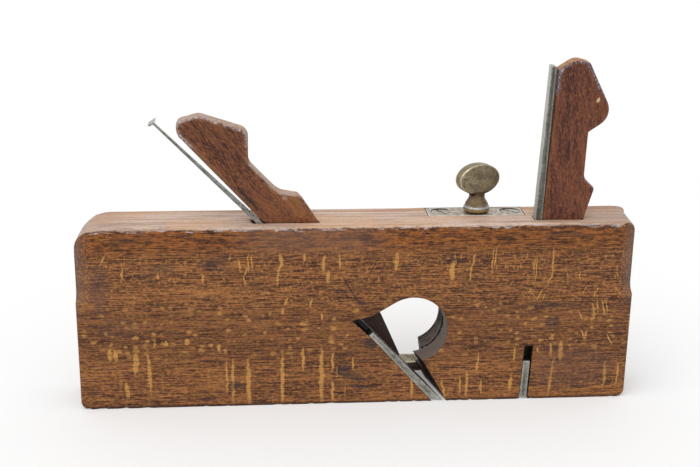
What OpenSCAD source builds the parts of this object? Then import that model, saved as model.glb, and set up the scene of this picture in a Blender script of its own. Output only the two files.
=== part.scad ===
// Wooden dado plane: a beech stock with a skewed iron, a two-spur nicker and a brass depth stop.
// X runs from heel to toe, Y from the right-hand cheek to the left-hand one, Z up from the sole.
// The origin is on the sole, halfway along the stock and halfway across it.
// Every outline of skewed work is drawn where it meets the right-hand cheek.

/* [Stock] */
// Length from heel to toe
stock_l = 241.3; // [225:0.1:260]
// Width across the cheeks, which is the width of the dado
stock_w = 25.4; // [25:0.1:29]
// Height from the sole to the top
stock_h = 82.55; // [80:0.05:86]
// Radius worn on the right-hand top edge
right_edge_r = 2.2; // [0.6:0.1:4]
// Radius worn on the left-hand top edge
left_edge_r = 0.8; // [0.3:0.1:1.4]
// Radius of the top corner at the heel
heel_top_r = 9; // [3:0.5:14]
// Radius of the top corner at the toe
toe_top_r = 6; // [3:0.5:12]
// Radius of the two bottom corners
sole_corner_r = 3.5; // [1:0.5:8]
// Run of the end chamfers along the stock
chamfer_along = 6.5; // [3:0.5:9]
// Run of the end chamfers across the stock
chamfer_across = 4; // [2:0.5:5]
// Length of the end chamfers, down from the top
chamfer_l = 28; // [18:0.5:42]
// Radius of the gouge cut that ends each chamfer
chamfer_gouge_r = 5; // [4.5:0.5:10]

/* [Mouth and escapement] */
// Slope of the iron's bed
bed_slope = 48.3; // [47:0.1:50]
// Skew of the iron across the sole, right-hand side leading
iron_skew = 14; // [8:0.5:16]
// Distance from the toe back to where the bed comes out of the sole
toe_to_mouth = 87.25; // [85:0.05:90]
// Width of the mouth along the sole
mouth_w = 6.5; // [5.8:0.1:9]
// Length of the bed from the sole to where the tail leaves it
bed_l = 41.5; // [38:0.1:41.5]
// Slope of the wall in front of the mouth
mouth_wall_slope = 60.5; // [57:0.5:64]
// Distance from the mouth back to the escapement bore
mouth_to_bore = 9.4; // [8.5:0.1:11.4]
// Height of the escapement bore
escapement_z = 34.15; // [33.5:0.05:36]
// Radius of the bore where it opens in the right-hand cheek
escapement_r = 15.28; // [14.8:0.01:15.5]
// Radius of the bore at mid width, where the two halves meet
escapement_mid_r = 14.7; // [14.3:0.05:14.8]
// Radius of the left half of the bore
escapement_left_r = 14.8; // [14.5:0.05:15]
// Place across the stock where the two halves of the bore meet
escapement_seam_y = 0.3; // [-2:0.1:2]
// Depth of the groove left where the two halves meet
seam_depth = 0.5; // [0.2:0.1:1]
// Width of that groove
seam_w = 0.7; // [0.4:0.1:1.5]
// Height of the pointed left end of the escapement
tail_z = 39.1; // [38:0.1:40]
// Distance from the bore back to that point
bore_to_tail = 26.6; // [26:0.1:27.5]
// Distance from the bore back to the bend in the end's upper side
bore_to_bend = 17.6; // [16:0.1:19]
// Height of that bend
tail_bend_z = 41.3; // [40.5:0.1:42]
// Radius of that bend
tail_bend_r = 14; // [8:0.5:16]
// Angle round the bore where the upper side runs into it
tail_end_angle = 123.4; // [120:0.1:126]
// Distance from the mouth back to the foot of the paring that opens the front wall on the left
mouth_to_relief = 2.2; // [1.6:0.1:2.8]
// Height of the foot of that paring
relief_z = 9.5; // [8:0.1:12]
// Height of the steep part of that paring
relief_h = 11; // [9:0.1:12]
// Lean of the steep part towards the heel
relief_lean = 8; // [5:0.5:12]
// Length of the step at its foot
relief_step_l = 5; // [4:0.1:6]
// Drop along that step
relief_step_drop = 1; // [0.5:0.1:2]

/* [Mortises] */
// Width of both wedge mortises
mortise_w = 6.5; // [5.8:0.1:7]
// Place of both mortises across the stock
mortise_y = -3.65; // [-4:0.05:-3.4]
// Room behind the main iron's tang, on the stock's top
tang_gap = 1.3; // [1:0.1:3]
// Length of the main mortise at its foot, from the escapement's pointed end
main_mortise_foot_l = 15.1; // [14.6:0.1:15.6]
// Slope of the main mortise's front wall
main_mortise_front_slope = 57.3; // [56:0.1:59]
// Play of wedges and tangs between the walls of their mortise
side_play = 0.15; // [0.1:0.05:0.3]

/* [Main iron] */
// Length from the cutting edge to the top of the tang
iron_l = 175.7; // [165:0.1:185]
// Length of the blade along the bed, from sole to shoulders
blade_l = 43; // [40:0.5:45]
// Thickness of the blade at the sole
blade_root_t = 3.5; // [2.8:0.1:3.8]
// Thickness of the blade at the shoulders
blade_shoulder_t = 2.3; // [2:0.1:2.7]
// Thickness of the tang where it leaves the stock
tang_t = 2.1; // [1.6:0.1:2.3]
// Thickness of the tang near its top
tang_top_t = 0.9; // [0.7:0.1:1.6]
// Angle of the bevel ground on the cutting edge
bevel_angle = 29; // [24:1:34]
// Height of the cutting edge over the sole
edge_lift = 0.15; // [0:0.05:0.5]
// Backward bend of the tang above the stock
tang_bend = 2; // [0:0.1:3]
// Height over the stock where the tang bends
tang_bend_rise = 2; // [1:0.1:6]
// Thickness of the burr hammered over the top of the tang
burr_t = 3.8; // [2.8:0.1:4.4]
// Height of that burr along the tang
burr_l = 0.8; // [0.5:0.1:2]
// Spread of the burr past either side of the tang
burr_spread = 0.5; // [0.1:0.1:1.5]
// Wear on the edges of the burr
burr_wear = 0.25; // [0.1:0.05:0.6]
// Turn of the burr away from square with the tang
burr_turn = 12; // [0:1:16]
// Play between blade and cheek, on either side
blade_side_play = 0.05; // [0.02:0.01:0.2]

/* [Main wedge] */
// Gap between the wedge and the iron, which the iron's taper takes up
wedge_play = 0.32; // [0.32:0.01:0.5]
// Height of the wedge's tip
wedge_tip_z = 19.6; // [18:0.1:22]
// Thickness of the wedge's tip
wedge_tip_t = 0.8; // [0.5:0.1:1.5]
// Height where the thinned tip begins
wedge_thin_z = 39.9; // [36:0.1:41]
// Rise of the wedge's head over the stock
wedge_head_rise = 47; // [44:0.1:51]
// Distance by which the head's back stands in from the wedge's back at that height
wedge_head_inset = 7.3; // [5:0.1:8]
// Length of the head
wedge_head_l = 29.7; // [27:0.1:31]
// Distance from the head's back to its crown
wedge_crown_x = 9.3; // [8.5:0.1:13]
// Drop from the crown to the head's back corner
wedge_back_drop = 2.6; // [2:0.1:5]
// Drop from the crown to the head's front corner
wedge_front_drop = 6.6; // [5:0.1:8]
// Drop from the crown to the neck
wedge_neck_drop = 20.6; // [19:0.1:22]
// Rise of the shallow nose over the stock
wedge_nose_rise = 11.9; // [11:0.05:13]
// Length of the nose
wedge_nose_l = 10; // [8:0.1:11]
// Fall along the nose
wedge_nose_fall = 1.6; // [0.8:0.1:2.2]
// Turn of the wedge's back above the stock
wedge_back_turn = 0.7; // [0.4:0.1:1.5]
// Radius where the wedge's back runs into the head
wedge_heel_r = 6; // [2:0.5:6]
// Steepness of the head's foot over that of the wedge's back
wedge_heel_turn = 4; // [3:0.5:6]
// Radius of the head's back corner
wedge_back_r = 3; // [2:0.5:4]
// Radius of the crown
wedge_crown_r = 5; // [3:0.5:8]
// Radius of the head's front corner
wedge_front_r = 4.5; // [3:0.5:6]
// Radius where the head's front meets the neck
wedge_neck_r = 5; // [3:0.5:6]
// Radius where the neck meets the nose
wedge_nose_r = 9; // [5:0.5:10]

/* [Nicker] */
// Distance from the toe back to the nicker's heel face at the sole
toe_to_nicker = 47.75; // [47:0.05:49]
// Lean of the nicker towards the toe
nicker_lean = 2.5; // [1:0.1:2.8]
// Thickness of the nicker in the stock
nicker_t = 3.2; // [2.4:0.1:3.4]
// Thickness of the nicker at its top
nicker_top_t = 2.2; // [1.4:0.1:2.4]
// Width of the nicker's tang across the stock
nicker_tang_w = 4.8; // [4.4:0.1:5.8]
// Rise of the nicker's top over the stock
nicker_top_rise = 67.05; // [58:0.05:73]
// Height of the nicker's shoulders
nicker_shoulder_z = 18.4; // [16:0.1:20]
// Height of the slot cut for the nicker's wide end
nicker_slot_z = 25.5; // [25:0.1:29]
// Width of each spur where it leaves the web
spur_w = 3.2; // [2.4:0.1:4]
// Width of each spur at its cutting tip
spur_tip_w = 0.5; // [0.3:0.1:1]
// Height of the web between the spurs
spur_l = 7.5; // [5:0.5:10]
// Height of the spurs' tips over the sole
spur_lift = 0.1; // [0:0.05:0.5]
// Chamfer between the spurs and the web
web_chamfer = 2; // [0.5:0.1:3]
// Height of the bevel behind the spurs' tips
nicker_bevel_h = 2.4; // [1:0.1:4]
// Thickness that this bevel takes away
nicker_bevel_t = 1.9; // [0.5:0.1:2]
// Drop of the top from its back to its front
nicker_top_drop = 0.2; // [0:0.1:1.5]
// Play in front of the nicker in its slot
nicker_play = 0.6; // [0.3:0.1:1.2]

/* [Nicker wedge] */
// Lean of the nicker mortise's front wall
nicker_wedge_lean = 15.9; // [14:0.1:16.5]
// Height of the nicker wedge's tip
nicker_wedge_tip_z = 30; // [29:0.5:34]
// Thickness of the nicker wedge's tip
nicker_wedge_tip_t = 5.5; // [5:0.1:6]
// Rise of the nicker wedge's head over the stock
nicker_head_rise = 70; // [66:0.1:73]
// Drop from the crown to the head's back corner
nicker_back_drop = 4.6; // [3:0.1:5]
// Distance from the iron to the crown
nicker_crown_x = 7.2; // [6:0.1:8]
// Distance from the iron to the brow
nicker_brow_x = 13.2; // [12:0.1:14]
// Drop from the crown to the brow
nicker_brow_drop = 1.5; // [0.8:0.1:2.4]
// Distance from the iron to the beak
nicker_beak_x = 25; // [23.5:0.1:26.5]
// Drop from the crown to the beak
nicker_beak_drop = 24.5; // [23:0.1:25.5]
// Distance from the iron to the hollow under the beak
nicker_hollow_x = 14.6; // [13:0.1:15]
// Drop from the crown to that hollow
nicker_hollow_drop = 31.5; // [30:0.1:33]
// Rise of the small nose over the stock
nicker_nose_rise = 13.75; // [12:0.05:16]
// Length of the small nose
nicker_nose_l = 4.9; // [4:0.1:6]
// Fall along the small nose
nicker_nose_fall = 4.6; // [3.6:0.1:5]
// Radius of the head's back corner
nicker_back_r = 1.2; // [0.6:0.1:2]
// Radius of the crown
nicker_crown_r = 5; // [2:0.5:7]
// Radius of the brow
nicker_brow_r = 2.8; // [1:0.1:3]
// Radius of the beak
nicker_beak_r = 7.5; // [5:0.1:8]
// Radius of the hollow under the beak
nicker_hollow_r = 1; // [0.5:0.1:2]
// Radius at the root of the small nose
nicker_root_r = 4; // [2:0.5:5]
// Radius of the small nose's tip
nicker_nose_r = 1.6; // [1:0.1:2]

/* [Depth stop] */
// Distance from the toe back to the stop's axis
toe_to_stop = 67.65; // [66:0.05:68.5]
// Place of the stop across the stock
stop_y = 6.2; // [5.8:0.05:6.4]
// Length of the foot along the stock
foot_l = 76; // [60:0.5:80]
// Reach of the foot out from the left-hand cheek
foot_reach = 9.9; // [7:0.1:12]
// Thickness of the foot
foot_t = 4.6; // [3:0.1:6]
// Height of the foot over the sole, which is the depth of the dado
foot_z = 3; // [0.5:0.1:10]
// Radius of the foot's corners
foot_corner_r = 2.4; // [1:0.1:4]
// Play between the foot and the cheek
foot_play = 0.2; // [0.1:0.05:0.5]
// Width of the stem along the stock
stem_w = 12.4; // [11:0.1:14]
// Thickness of the stem into the stock
stem_t = 11; // [9.6:0.1:11.2]
// Height of the stem from the underside of the foot
stem_h = 41; // [36:0.5:42]
// Height and reach of the web that joins foot and stem
web_size = 5.5; // [3:0.1:6]
// Play of the stem in its groove
stem_play = 0.15; // [0.1:0.05:0.3]
// Height of the groove's upper end
groove_top_z = 64; // [62:0.5:68]

/* [Stop plate] */
// Length of the brass plate behind the stop's axis
plate_rear_l = 21.9; // [21:0.1:23]
// Length of the brass plate before the stop's axis
plate_front_l = 20.5; // [20.5:0.1:22]
// Width of the brass plate
plate_w = 11.4; // [10:0.1:11.8]
// Thickness of the brass plate
plate_t = 1.6; // [1.2:0.1:2.4]
// Distance of the rear screw from the stop's axis
rear_screw_gap = 15.7; // [14.5:0.1:16.5]
// Distance of the front screw from the stop's axis
front_screw_gap = 15; // [14:0.1:16.5]
// Diameter of the plate screws' heads
screw_head_d = 8.3; // [6:0.1:8.6]
// Diameter of the plate screws' shanks
screw_d = 3.8; // [3:0.1:4.4]
// Length of the plate screws
screw_l = 16; // [10:0.5:24]
// Length of the plate screws' points
screw_tip_l = 3; // [2:0.1:5]
// Radius of the plate screws' blunt tips
screw_tip_r = 0.4; // [0.2:0.1:1]
// Height of the plate screws' heads
screw_head_h = 2.2; // [1.8:0.1:2.6]
// Height of the straight rim round the heads
screw_rim = 0.3; // [0.1:0.1:0.6]
// Width of the screwdriver slots
slot_w = 0.9; // [0.6:0.1:1.4]
// Depth of the screwdriver slots
slot_h = 1; // [0.5:0.1:1.4]
// Play of the screws in plate and stock
screw_play = 0.05; // [0.02:0.01:0.1]
// Turn of the rear screw's slot from the length of the stock
rear_slot_turn = -62; // [-90:1:90]
// Turn of the front screw's slot from the length of the stock
front_slot_turn = -40; // [-90:1:90]

/* [Thumbscrew] */
// Diameter of the threaded shank
shank_d = 6.35; // [5:0.05:6.6]
// Height of the shank's lower end
shank_end_z = 22; // [20:0.5:26]
// Play of the shank in plate and stem
shank_play = 0.06; // [0.02:0.01:0.1]
// Width of the thumb paddle
paddle_w = 19.3; // [15:0.1:24]
// Height of the thumb paddle
paddle_h = 13.4; // [10:0.1:18]
// Thickness of the thumb paddle
paddle_t = 5.1; // [3:0.1:5.5]
// Height of the paddle's middle over the stock
paddle_rise = 15; // [14:0.1:20]
// Turn of the paddle as it was left
paddle_turn = 21; // [-90:1:90]
// Diameter of the bead at the base
bead_d = 11.6; // [10:0.1:13]
// Height of the bead
bead_h = 2.9; // [2:0.1:4]
// Bulge of the bead
bead_bulge = 0.6; // [0.3:0.1:1]
// Height of the narrow ring under the bead
foot_ring_h = 0.9; // [0.5:0.1:1.5]
// Distance by which that ring stands in from the bead's neck
foot_ring_inset = 0.3; // [0.1:0.1:0.6]
// Height of the hollow curve from the bead to the waist
cove_h = 3.4; // [2.4:0.1:3.6]
// Diameter of the waist
waist_d = 7.3; // [6:0.1:8.4]
// Depth to which the waist reaches into the paddle
paddle_root = 1.2; // [1:0.1:2]
// Widening of the waist where it enters the paddle
waist_flare = 0.5; // [0.2:0.1:0.8]
// Diameter of the ring pinned on the shank under the plate
collar_d = 8.6; // [8:0.1:9]
// Height of that ring
collar_h = 3.4; // [2.6:0.1:4]
// Diameter of the pin through ring and shank
pin_d = 1.6; // [1:0.1:2]
// Distance by which the pin's ends lie inside the ring
pin_inset = 0.3; // [0.1:0.1:0.6]
// Play of the pin in ring and shank
pin_play = 0.02; // [0.01:0.01:0.05]
// Play around the ring
collar_play = 0.4; // [0.2:0.05:0.5]

/* [Hidden] */

beech = "#9c6a42";
wedge_wood = "#7a4a30";
worn_steel = "#77756b";
pale_brass = "#b0a27a";
brass = "#9a8350";

// How far a cutter runs past the face that it opens
past = 1;
// Gap between faces that bear on one another
seat_gap = 0.01;
// How much tighter the bore is along the skew than square across
skewed_bore_gap = 0.2;
right_y = -stock_w / 2;
left_y = stock_w / 2;
heel_x = -stock_l / 2;
toe_x = stock_l / 2;
// Longer than anything in the plane
reach = 2 * stock_l;
// Steps in each rounded corner of an outline
corner_steps = 7;
// Facets of the large rounds and of the small ones
round_fn = 96;
small_fn = 48;

mouth_x = toe_x - toe_to_mouth;
relief_x = mouth_x - mouth_to_relief;
escapement_x = mouth_x - mouth_to_bore;
tail_x = escapement_x - bore_to_tail;
nicker_x = toe_x - toe_to_nicker;
stop_x = toe_x - toe_to_stop;
nicker_top_z = stock_h + nicker_top_rise;

// The bed line rises from the sole; s runs up it and t stands off it towards the toe
bed_up = [-cos(bed_slope), sin(bed_slope)];
bed_out = [sin(bed_slope), cos(bed_slope)];
blade_taper = (blade_root_t - blade_shoulder_t) / blade_l;
iron_face_slope = bed_slope - atan(blade_taper);
function on_bed(s, t) = [mouth_x, 0] + s * bed_up + t * bed_out;
function iron_face(s, gap = 0) = on_bed(s, blade_root_t - blade_taper * s + gap);
function iron_s_at(z, gap = 0) =
    (z - (blade_root_t + gap) * bed_out.y) / (bed_up.y - blade_taper * bed_out.y);

function nicker_heel_x(z) = nicker_x + z * tan(nicker_lean);
function nicker_face_x(z) = nicker_heel_x(z) + nicker_t / cos(nicker_lean);
// The front walls of mouth and mortises, each laid off from its foot
function mouth_wall_x(z) = mouth_x + mouth_w - z / tan(mouth_wall_slope);
function main_front_x(z) = tail_x + main_mortise_foot_l - (z - tail_z) / tan(main_mortise_front_slope);
function nicker_front_x(z) =
    let (foot_x = nicker_face_x(nicker_wedge_tip_z) + nicker_wedge_tip_t)
    foot_x + (z - nicker_wedge_tip_z) * tan(nicker_wedge_lean);
// How far the skew sets a place on the stock's width back towards the heel
function set_back(y) = (y - right_y) * tan(iron_skew);

// The main mortise leaves room behind the tang, up to the stock's top
main_mortise_back_x = iron_face(iron_s_at(stock_h, -tang_t), -tang_t).x - tang_gap;
plate_z = stock_h - plate_t;
rear_screw_x = stop_x - rear_screw_gap;
front_screw_x = stop_x + front_screw_gap;
stem_outer_y = left_y - stem_play;
// The ring runs just under the plate, with its pin at mid height
plate_gap = 0.1;
pin_z = plate_z - plate_gap - collar_h / 2;
wedge_right_y = mortise_y - mortise_w / 2 + side_play;
wedge_left_y = mortise_y + mortise_w / 2 - side_play;

function unit(v) = v / norm(v);

// An arc of radius r that rounds the corner at b between its neighbours a and c
function corner(a, b, c, r) =
    let (u = unit(a - b), w = unit(c - b), half = acos(u * w) / 2)
    let (middle = b + unit(u + w) * r / sin(half), from = b + u * r / tan(half) - middle)
    let (start = atan2(from.y, from.x), to = b + w * r / tan(half) - middle)
    let (raw = atan2(to.y, to.x) - start, sweep = raw > 180 ? raw - 360 : raw < -180 ? raw + 360 : raw)
    [for (i = [0 : corner_steps])
        middle + r * [cos(start + sweep * i / corner_steps), sin(start + sweep * i / corner_steps)]];

// A closed outline whose points may carry a radius as their third value
function rounded(path) =
    [for (i = [0 : len(path) - 1])
        let (a = path[(i + len(path) - 1) % len(path)], b = path[i], c = path[(i + 1) % len(path)])
        each (len(b) > 2 ? corner([a.x, a.y], [b.x, b.y], [c.x, c.y], b[2]) : [[b.x, b.y]])];

// A side outline carried square across the stock, between two places
module square_across(outline, from_y = right_y - past, to_y = left_y + past) {
    translate([0, to_y, 0]) rotate([90, 0, 0]) linear_extrude(height = to_y - from_y) polygon(outline);
}

// A side outline carried across the stock at the iron's skew
module skewed_across(outline, from_y = right_y - past, to_y = left_y + past) {
    intersection() {
        translate([0, right_y, 0]) rotate([0, 0, iron_skew]) rotate([90, 0, 0])
            linear_extrude(height = reach, center = true)
                polygon([for (p = outline) [p.x * cos(iron_skew), p.y]]);
        translate([-reach, from_y, -reach]) cube([2 * reach, to_y - from_y, 2 * reach]);
    }
}

module across_bore(x, z, r, from_y, to_y, end_r = undef) {
    translate([x, from_y, z]) rotate([-90, 0, 0])
        cylinder(h = to_y - from_y, r1 = r, r2 = is_undef(end_r) ? r : end_r, $fn = round_fn);
}

// What a rounded corner of the side outline takes away; dx and dz point outwards
module corner_waste(x, z, r, dx, dz) {
    translate([x - dx * r, z - dz * r]) difference() {
        translate([dx > 0 ? 0 : -r - past, dz > 0 ? 0 : -r - past]) square(r + past);
        circle(r = r, $fn = round_fn);
    }
}

module side_blank() {
    rotate([90, 0, 0]) linear_extrude(height = stock_w, center = true) difference() {
        translate([heel_x, 0]) square([stock_l, stock_h]);
        corner_waste(heel_x, stock_h, heel_top_r, -1, 1);
        corner_waste(toe_x, stock_h, toe_top_r, 1, 1);
        corner_waste(heel_x, 0, sole_corner_r, -1, -1);
        corner_waste(toe_x, 0, sole_corner_r, 1, -1);
    }
}

// What the worn long edges take away; side is -1 on the right hand and 1 on the left
module long_edge_waste(r, side) {
    rotate([90, 0, 90]) linear_extrude(height = reach, center = true)
        corner_waste(side * left_y, stock_h, r, side, 1);
}

// One end chamfer, run out at its foot in a scoop
module chamfer_waste() {
    stop_z = stock_h - chamfer_l;
    face_l = norm([chamfer_along, chamfer_across]);
    depth = chamfer_along * chamfer_across / face_l;
    turn = atan2(chamfer_across, chamfer_along);
    translate([toe_x, right_y, 0]) rotate([0, 0, turn]) translate([0, depth, 0])
        intersection() {
            translate([-reach / 2, -reach, 0]) cube([reach, reach, stock_h + past]);
            union() {
                translate([-reach / 2, -reach, stop_z]) cube([reach, reach, stock_h]);
                translate([0, -chamfer_gouge_r, stop_z]) rotate([0, 90, 0])
                    cylinder(h = reach, r = chamfer_gouge_r, center = true, $fn = round_fn);
            }
        }
}

module end_chamfers() {
    for (end = [0, 1], side = [0, 1])
        mirror([end, 0, 0]) mirror([0, side, 0]) chamfer_waste();
}

// The throat: bed, pointed left end, and the wall in front of the mouth
module throat() {
    bore = [escapement_x, escapement_z];
    wall_top_z = escapement_z - escapement_mid_r + past;
    skewed_across(rounded([
        on_bed(-2 * past, -seat_gap),
        on_bed(bed_l, -seat_gap),
        [tail_x, tail_z],
        [escapement_x - bore_to_bend, tail_bend_z, tail_bend_r],
        bore + escapement_r * [cos(tail_end_angle), sin(tail_end_angle)],
        bore,
        [mouth_wall_x(wall_top_z), wall_top_z],
        [mouth_wall_x(-2 * past), -2 * past]]));
}

// The bore is worked from both cheeks and keeps a groove where the halves meet
module escapement() {
    // The paring ends inside the throat, clear of the bed, as far across as the left-hand cheek
    relief_end = on_bed(escapement_r, blade_root_t + 2 * past) - [set_back(left_y), 0];
    across_bore(escapement_x, escapement_z, escapement_r, right_y - seat_gap, escapement_seam_y,
        escapement_mid_r);
    across_bore(escapement_x, escapement_z, escapement_mid_r + seam_depth, escapement_seam_y,
        escapement_seam_y + seam_w);
    across_bore(escapement_x, escapement_z, escapement_left_r, escapement_seam_y, left_y + past);
    // The throat is rounded along its skew too
    intersection() {
        translate([escapement_x, right_y, escapement_z]) rotate([-90, 0, iron_skew])
            cylinder(h = reach, r = escapement_mid_r - skewed_bore_gap, center = true, $fn = round_fn);
        translate([-reach / 2, right_y - past, 0]) cube([reach, stock_w + 2 * past, stock_h]);
    }
    // The left half of the front wall is pared away to let shavings out
    square_across([
        [escapement_x, escapement_z],
        [relief_x - relief_h * tan(relief_lean), relief_z + relief_h],
        [relief_x, relief_z],
        [relief_x - relief_step_l, relief_z - relief_step_drop],
        relief_end], escapement_seam_y, left_y + past);
}

module main_mortise() {
    skewed_across([
        on_bed(bed_l, -seat_gap),
        [tail_x, tail_z],
        [main_mortise_back_x - past, stock_h + past],
        [main_front_x(stock_h + past), stock_h + past],
        [main_front_x(wedge_thin_z - 2 * past), wedge_thin_z - 2 * past]],
        mortise_y - mortise_w / 2, mortise_y + mortise_w / 2);
}

module nicker_housing() {
    square_across([
        [nicker_heel_x(-past), -past],
        [nicker_heel_x(nicker_slot_z), nicker_slot_z],
        [nicker_face_x(nicker_slot_z) + nicker_play, nicker_slot_z],
        [nicker_face_x(-past) + nicker_play, -past]]);
    floor_z = nicker_wedge_tip_z - 2 * past;
    square_across([
        [nicker_heel_x(nicker_slot_z - past), nicker_slot_z - past],
        [nicker_heel_x(stock_h + past), stock_h + past],
        [nicker_front_x(stock_h + past), stock_h + past],
        [nicker_front_x(floor_z), floor_z],
        [nicker_face_x(nicker_slot_z - past) + nicker_play, nicker_slot_z - past]],
        mortise_y - mortise_w / 2, mortise_y + mortise_w / 2);
}

// Groove, pocket and recess that hold the depth stop and its screw
module stop_housing() {
    groove_w = stem_w + 2 * stem_play;
    groove_y = stem_outer_y - stem_t - stem_play;
    translate([stop_x - groove_w / 2, groove_y, -past])
        cube([groove_w, left_y - groove_y + past, groove_top_z + past]);
    translate([stop_x, stop_y, groove_top_z - past])
        cylinder(h = stock_h, d = shank_d + 2 * collar_play, $fn = small_fn);
    translate([stop_x, stop_y, plate_z - plate_gap - collar_h - collar_play])
        cylinder(h = stock_h, d = collar_d + 2 * collar_play, $fn = small_fn);
    translate([stop_x - plate_rear_l, stop_y - plate_w / 2, plate_z])
        cube([plate_rear_l + plate_front_l, plate_w, plate_t + past]);
    for (x = [rear_screw_x, front_screw_x])
        translate([x, stop_y, 0]) screw_body(screw_play);
}

module stock() {
    color(beech) difference() {
        side_blank();
        long_edge_waste(right_edge_r, -1);
        long_edge_waste(left_edge_r, 1);
        end_chamfers();
        throat();
        escapement();
        main_mortise();
        nicker_housing();
        stop_housing();
    }
}

// Blade and tang are one forging: thick at the edge, thin and sprung back at the top
module main_iron() {
    tip_s = iron_s_at(edge_lift);
    tip = iron_face(tip_s);
    bevel_s = tip_s + (blade_root_t - blade_taper * tip_s) / tan(bevel_angle);
    bend = iron_face(iron_s_at(stock_h + tang_bend_rise));
    face_out = [sin(iron_face_slope), cos(iron_face_slope)];
    free_slope = iron_face_slope - tang_bend;
    free_up = [-cos(free_slope), sin(free_slope)];
    free_out = [sin(free_slope), cos(free_slope)];
    top = bend + (iron_l - norm(bend - tip)) * free_up;
    // The top is cut square to the cheeks, through the middle of the tang's width
    cut = top - [set_back(mortise_y), 0] - tang_top_t / 2 * free_out;
    burr_slope = free_slope + burr_turn;
    burr_up = [-cos(burr_slope), sin(burr_slope)];
    burr_out = [sin(burr_slope), cos(burr_slope)];
    neck = cut - burr_l * burr_up;
    crest = cut - burr_wear * burr_up;
    color(worn_steel) union() {
        skewed_across([tip, iron_face(blade_l), on_bed(blade_l, 0), on_bed(bevel_s, 0)],
            right_y + blade_side_play, left_y - blade_side_play);
        intersection() {
            skewed_across([
                iron_face(blade_l / 2),
                bend,
                top + burr_l * free_up,
                top + burr_l * free_up - tang_top_t * free_out,
                bend - tang_t * face_out,
                on_bed(blade_l, 0),
                on_bed(blade_l / 2, 0)], wedge_right_y, wedge_left_y);
            square_across([
                cut + reach * burr_out,
                cut - reach * burr_out,
                cut - reach * burr_out - reach * burr_up,
                cut + reach * burr_out - reach * burr_up]);
        }
        square_across([
            neck + tang_top_t * burr_out,
            crest + burr_t / 2 * burr_out,
            cut + (burr_t / 2 - burr_wear) * burr_out,
            cut - (burr_t / 2 - burr_wear) * burr_out,
            crest - burr_t / 2 * burr_out,
            neck - tang_top_t * burr_out], wedge_right_y - burr_spread, wedge_left_y + burr_spread);
    }
}

// The faces that bear follow the iron's skew; the head is shaped square to the cheeks
module main_wedge() {
    tip_s = iron_s_at(wedge_tip_z, wedge_play);
    leave = iron_face(iron_s_at(stock_h, wedge_play), wedge_play);
    back_slope = iron_face_slope + wedge_back_turn;
    head_z = stock_h + wedge_head_rise;
    blank_top = leave + stock_h * [-cos(back_slope), sin(back_slope)];
    face_x = leave.x - wedge_head_rise / tan(back_slope) - set_back(wedge_right_y);
    head_x = face_x + wedge_head_inset;
    heel = [head_x, head_z - wedge_head_inset * tan(back_slope)];
    heel_slope = back_slope + wedge_heel_turn;
    nose_z = stock_h + wedge_nose_rise;
    nose_x = main_front_x(nose_z) - set_back(wedge_right_y);
    nose_root = [nose_x - wedge_nose_l, nose_z + wedge_nose_fall];
    color(wedge_wood) intersection() {
        skewed_across([
            iron_face(tip_s, wedge_play),
            leave,
            blank_top,
            [main_front_x(blank_top.y) - seat_gap, blank_top.y],
            [main_front_x(wedge_thin_z) - seat_gap, wedge_thin_z],
            iron_face(tip_s, wedge_play + wedge_tip_t)], wedge_right_y, wedge_left_y);
        square_across(rounded([
            heel + reach * [cos(heel_slope), -sin(heel_slope)],
            [heel.x, heel.y, wedge_heel_r],
            [head_x, head_z - wedge_back_drop, wedge_back_r],
            [head_x + wedge_crown_x, head_z, wedge_crown_r],
            [head_x + wedge_head_l, head_z - wedge_front_drop, wedge_front_r],
            [head_x + wedge_head_l, head_z - wedge_neck_drop, wedge_neck_r],
            [nose_root.x, nose_root.y, wedge_nose_r],
            nose_root + 2 * [wedge_nose_l, -wedge_nose_fall],
            [nose_x + stock_h, 0]]));
    }
}

// A plate as wide as the stock at its foot, where two spurs stand out flush with the cheeks
module nicker_iron() {
    blade_half = stock_w / 2 - blade_side_play;
    waist_z = nicker_shoulder_z / 2;
    color(worn_steel) difference() {
        union() {
            square_across([
                [nicker_heel_x(nicker_bevel_h), nicker_bevel_h],
                [nicker_heel_x(nicker_shoulder_z), nicker_shoulder_z],
                [nicker_face_x(nicker_shoulder_z), nicker_shoulder_z],
                [nicker_face_x(spur_lift), spur_lift],
                [nicker_heel_x(spur_lift) + nicker_bevel_t, spur_lift]], -blade_half, blade_half);
            square_across([
                [nicker_heel_x(waist_z), waist_z],
                [nicker_heel_x(nicker_top_z), nicker_top_z],
                [nicker_heel_x(nicker_top_z) + nicker_top_t, nicker_top_z - nicker_top_drop],
                [nicker_face_x(stock_h), stock_h],
                [nicker_face_x(waist_z), waist_z]], wedge_right_y, wedge_right_y + nicker_tang_w);
        }
        translate([nicker_x - reach / 2, 0, 0]) rotate([90, 0, 90]) linear_extrude(height = reach)
            polygon([
                [spur_tip_w - blade_half, -past],
                [spur_w - blade_half, spur_l - web_chamfer],
                [spur_w + web_chamfer - blade_half, spur_l],
                [blade_half - spur_w - web_chamfer, spur_l],
                [blade_half - spur_w, spur_l - web_chamfer],
                [blade_half - spur_tip_w, -past]]);
    }
}

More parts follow.
